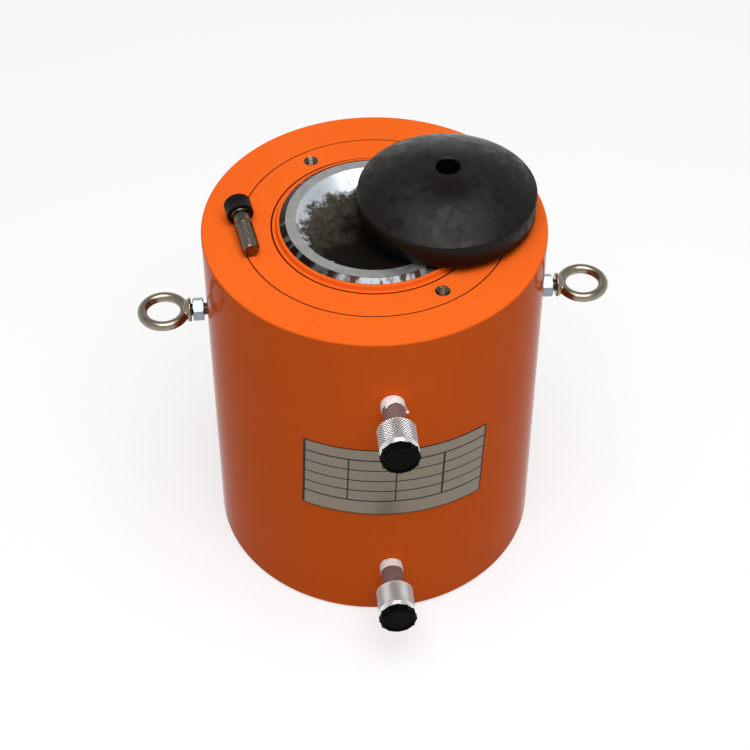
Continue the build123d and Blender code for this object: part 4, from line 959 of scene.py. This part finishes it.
PORTS = {"upper": 289.2, "lower": 68.0}
SPRING_FOOT = -6.9
for side, port_z in PORTS.items():
    place = on_port(port_z)
    make_piece(f"{side}_neck_skin", [(*turned(body_profile, 192, closed=True), 0)], [neck_steel],
               "cylinder", [f"{side}_coupler_body"], place=place)
    make_piece(f"{side}_stop_ring_skin", [(*stop_ring(), 0)], [spring_wire], "cylinder",
               [f"{side}_collar_stop_ring"], place=place)
    wraps = [(*tape_wrap(11 if side == "upper" else 5), 0)]
    if side == "upper":
        wraps += [(*tape_end((78, 100, 118, 126), (9.0, 10.6, 12.6, 14.6), (10.9, 11.6, 11.9, 11.2), 2.6), 0),
                  (*tape_end((30, 20, 12, 7), (9.0, 10.0, 11.2, 12.6), (10.9, 11.2, 11.5, 11.6), 1.3), 0),
                  (*bead(6, 13.2, 11.7), 0)]
    make_piece(f"{side}_tape_skin", wraps, [tape_white], "cylinder", [f"{side}_thread_tape"],
               place=place, sharp=60)
    collar = make_piece(f"{side}_collar_skin",
                        [(*turned(collar_profile, KNURL_LINES * 12, closed=True, relief=mouth_thread), 0)],
                        [zinc], f"{side}_collar", [f"{side}_coupler_collar"],
                        place=place, sharp=40)
    where = np.empty(len(collar.data.vertices) * 3)
    collar.data.vertices.foreach_get("co", where)
    where = where.reshape(-1, 3) / MM
    out = np.hypot(where[:, 0], where[:, 2] - port_z)
    station = -BARREL_R - where[:, 1]
    # how far a point lies down a knurl groove; the zinc material darkens it there as painted shade
    sunk = np.where((station > KNURL_FROM) & (station < KNURL_TO) & (out > 16), (17 - out) / 0.5, 0)
    collar.data.attributes.new("groove", "FLOAT", "POINT").data.foreach_set("value", np.clip(sunk, 0, 1))
    make_piece(f"{side}_poppet_skin", [(*turned(poppet_profile, 96), 0)], [bored_steel],
               f"{side}_poppet", [f"{side}_poppet"], place=place)
    spring = make_piece(f"{side}_poppet_spring_skin",
                        [(*coil_spring(4.3, 1.1, 7, SPRING_FOOT + 0.55, NOSE - 13.1), 0)], [spring_wire],
                        "cylinder", [f"{side}_poppet_spring"], place=place)
    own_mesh(spring)
    make_piece(f"{side}_cap_skin", [(*turned(cap_profile, 288, relief=grip), 0)], [nylon],
               f"{side}_cap", [f"{side}_dust_cap"], place=place)

# %% [markdown]
# ## Pieces that stay as the CAD made them
# Seals, spring retainers, the piston and its small parts sit inside, so the CAD's own mesh is smooth enough
# for them. They only get the right material in place of the plain one.

# %% Finishes for the inner pieces
INNER = {
    "gland_o_ring": nitrile, "gland_backup_ring": bronze_ptfe, "rod_seal": polyurethane,
    "rod_seal_backup_ring": bronze_ptfe, "rod_guide_bands": bronze_ptfe, "piston": bored_steel,
    "piston_seal": polyurethane, "piston_wear_rings": bronze_ptfe, "piston_o_ring": nitrile,
    "piston_lock_screws": screw_black,
}
for side in PORTS:
    INNER[f"{side}_spring_retainer"] = bored_steel
    INNER[f"{side}_socket_o_ring"] = nitrile
for name, material in INNER.items():
    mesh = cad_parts[name].data
    mesh.materials.clear()
    mesh.materials.append(material)
print("inner pieces finished:", len(INNER))

# %% [markdown]
# ## Floor and light
# The background is a pale floor. For the camera, and for what metal mirrors, it is lifted to
# white; for the light it sends back to the object it stays a mid grey, so that the object's sides
# are darker than its top, as in a booth lit from above. One wide lamp hangs overhead.

# %% Floor
floor_mesh = bpy.data.meshes.new("floor")
floor_mesh.from_pydata([(-9, -9, 0), (9, -9, 0), (9, 9, 0), (-9, 9, 0)], [], [(0, 1, 2, 3)])
floor = bpy.data.objects.new("floor", floor_mesh)
bpy.context.scene.collection.objects.link(floor)
floor_paint, tree = start_material("matt_white_floor")
ray = add(tree, "LightPath")
seen = add(tree, "Math", {"operation": "MAXIMUM"},
           {0: ray.outputs["Is Camera Ray"], 1: ray.outputs["Is Glossy Ray"]})
seen = add(tree, "Math", {"operation": "MAXIMUM"}, {0: seen.outputs[0], 1: ray.outputs["Is Transmission Ray"]})
matt = add(tree, "BsdfDiffuse", {"Color": (0.38, 0.38, 0.38, 1)})
bright = add(tree, "BsdfDiffuse", {"Color": (0.42, 0.42, 0.42, 1)})
lift = add(tree, "Emission", {"Color": (1, 1, 1, 1), "Strength": 0.66})
white = add(tree, "AddShader", wires={0: bright.outputs[0], 1: lift.outputs[0]})
close_material(tree, add(tree, "MixShader", wires={0: seen.outputs[0], 1: matt.outputs[0], 2: white.outputs[0]}))
floor_mesh.materials.append(floor_paint)
print("floor ready")

# %% Lamps and world
def soft_box(name, size, watts, place, aim):
    """A square area lamp at place that faces aim."""
    lamp = bpy.data.lights.new(name, "AREA")
    lamp.shape = "SQUARE"
    lamp.size = size
    lamp.energy = watts
    holder = bpy.data.objects.new(name, lamp)
    holder.location = place
    holder.rotation_euler = (Vector(aim) - Vector(place)).to_track_quat("-Z", "Y").to_euler()
    bpy.context.scene.collection.objects.link(holder)
    return holder


overhead = soft_box("overhead_softbox", 1.8, 41.5, (0.05, -0.55, 2.30), (0, 0, 0.3))
world = bpy.data.worlds.new("booth")
bpy.context.scene.world = world
world.use_nodes = True
tree = world.node_tree
tree.nodes.clear()
direction = add(tree, "SeparateXYZ", wires={"Vector": add(tree, "TexCoord").outputs["Generated"]})
fall = add(tree, "MapRange", {"From Min": 0.05, "From Max": 0.75, "To Min": 0.90, "To Max": 0.38},
           {"Value": direction.outputs["Z"]})
ray = add(tree, "LightPath")
seen = add(tree, "Math", {"operation": "MAXIMUM"},
           {0: ray.outputs["Is Camera Ray"], 1: ray.outputs["Is Glossy Ray"]})
seen = add(tree, "Math", {"operation": "MAXIMUM"}, {0: seen.outputs[0], 1: ray.outputs["Is Transmission Ray"]})
level = add(tree, "Mix", {"data_type": "FLOAT", 2: 0.22}, {0: seen.outputs[0], 3: fall.outputs["Result"]})
sky = add(tree, "Background", {"Color": (1, 1, 1, 1)}, {"Strength": level.outputs[0]})
tree.links.new(sky.outputs[0], add(tree, "OutputWorld").inputs["Surface"])
bpy.context.scene.view_settings.view_transform = "Standard"
print("lamp:", overhead.name)

# %% [markdown]
# ## Count the pieces
# The number of dressed pieces and their triangles is printed.

# %% Counts and the end
print("pieces:", totals["pieces"], "triangles:", totals["triangles"])
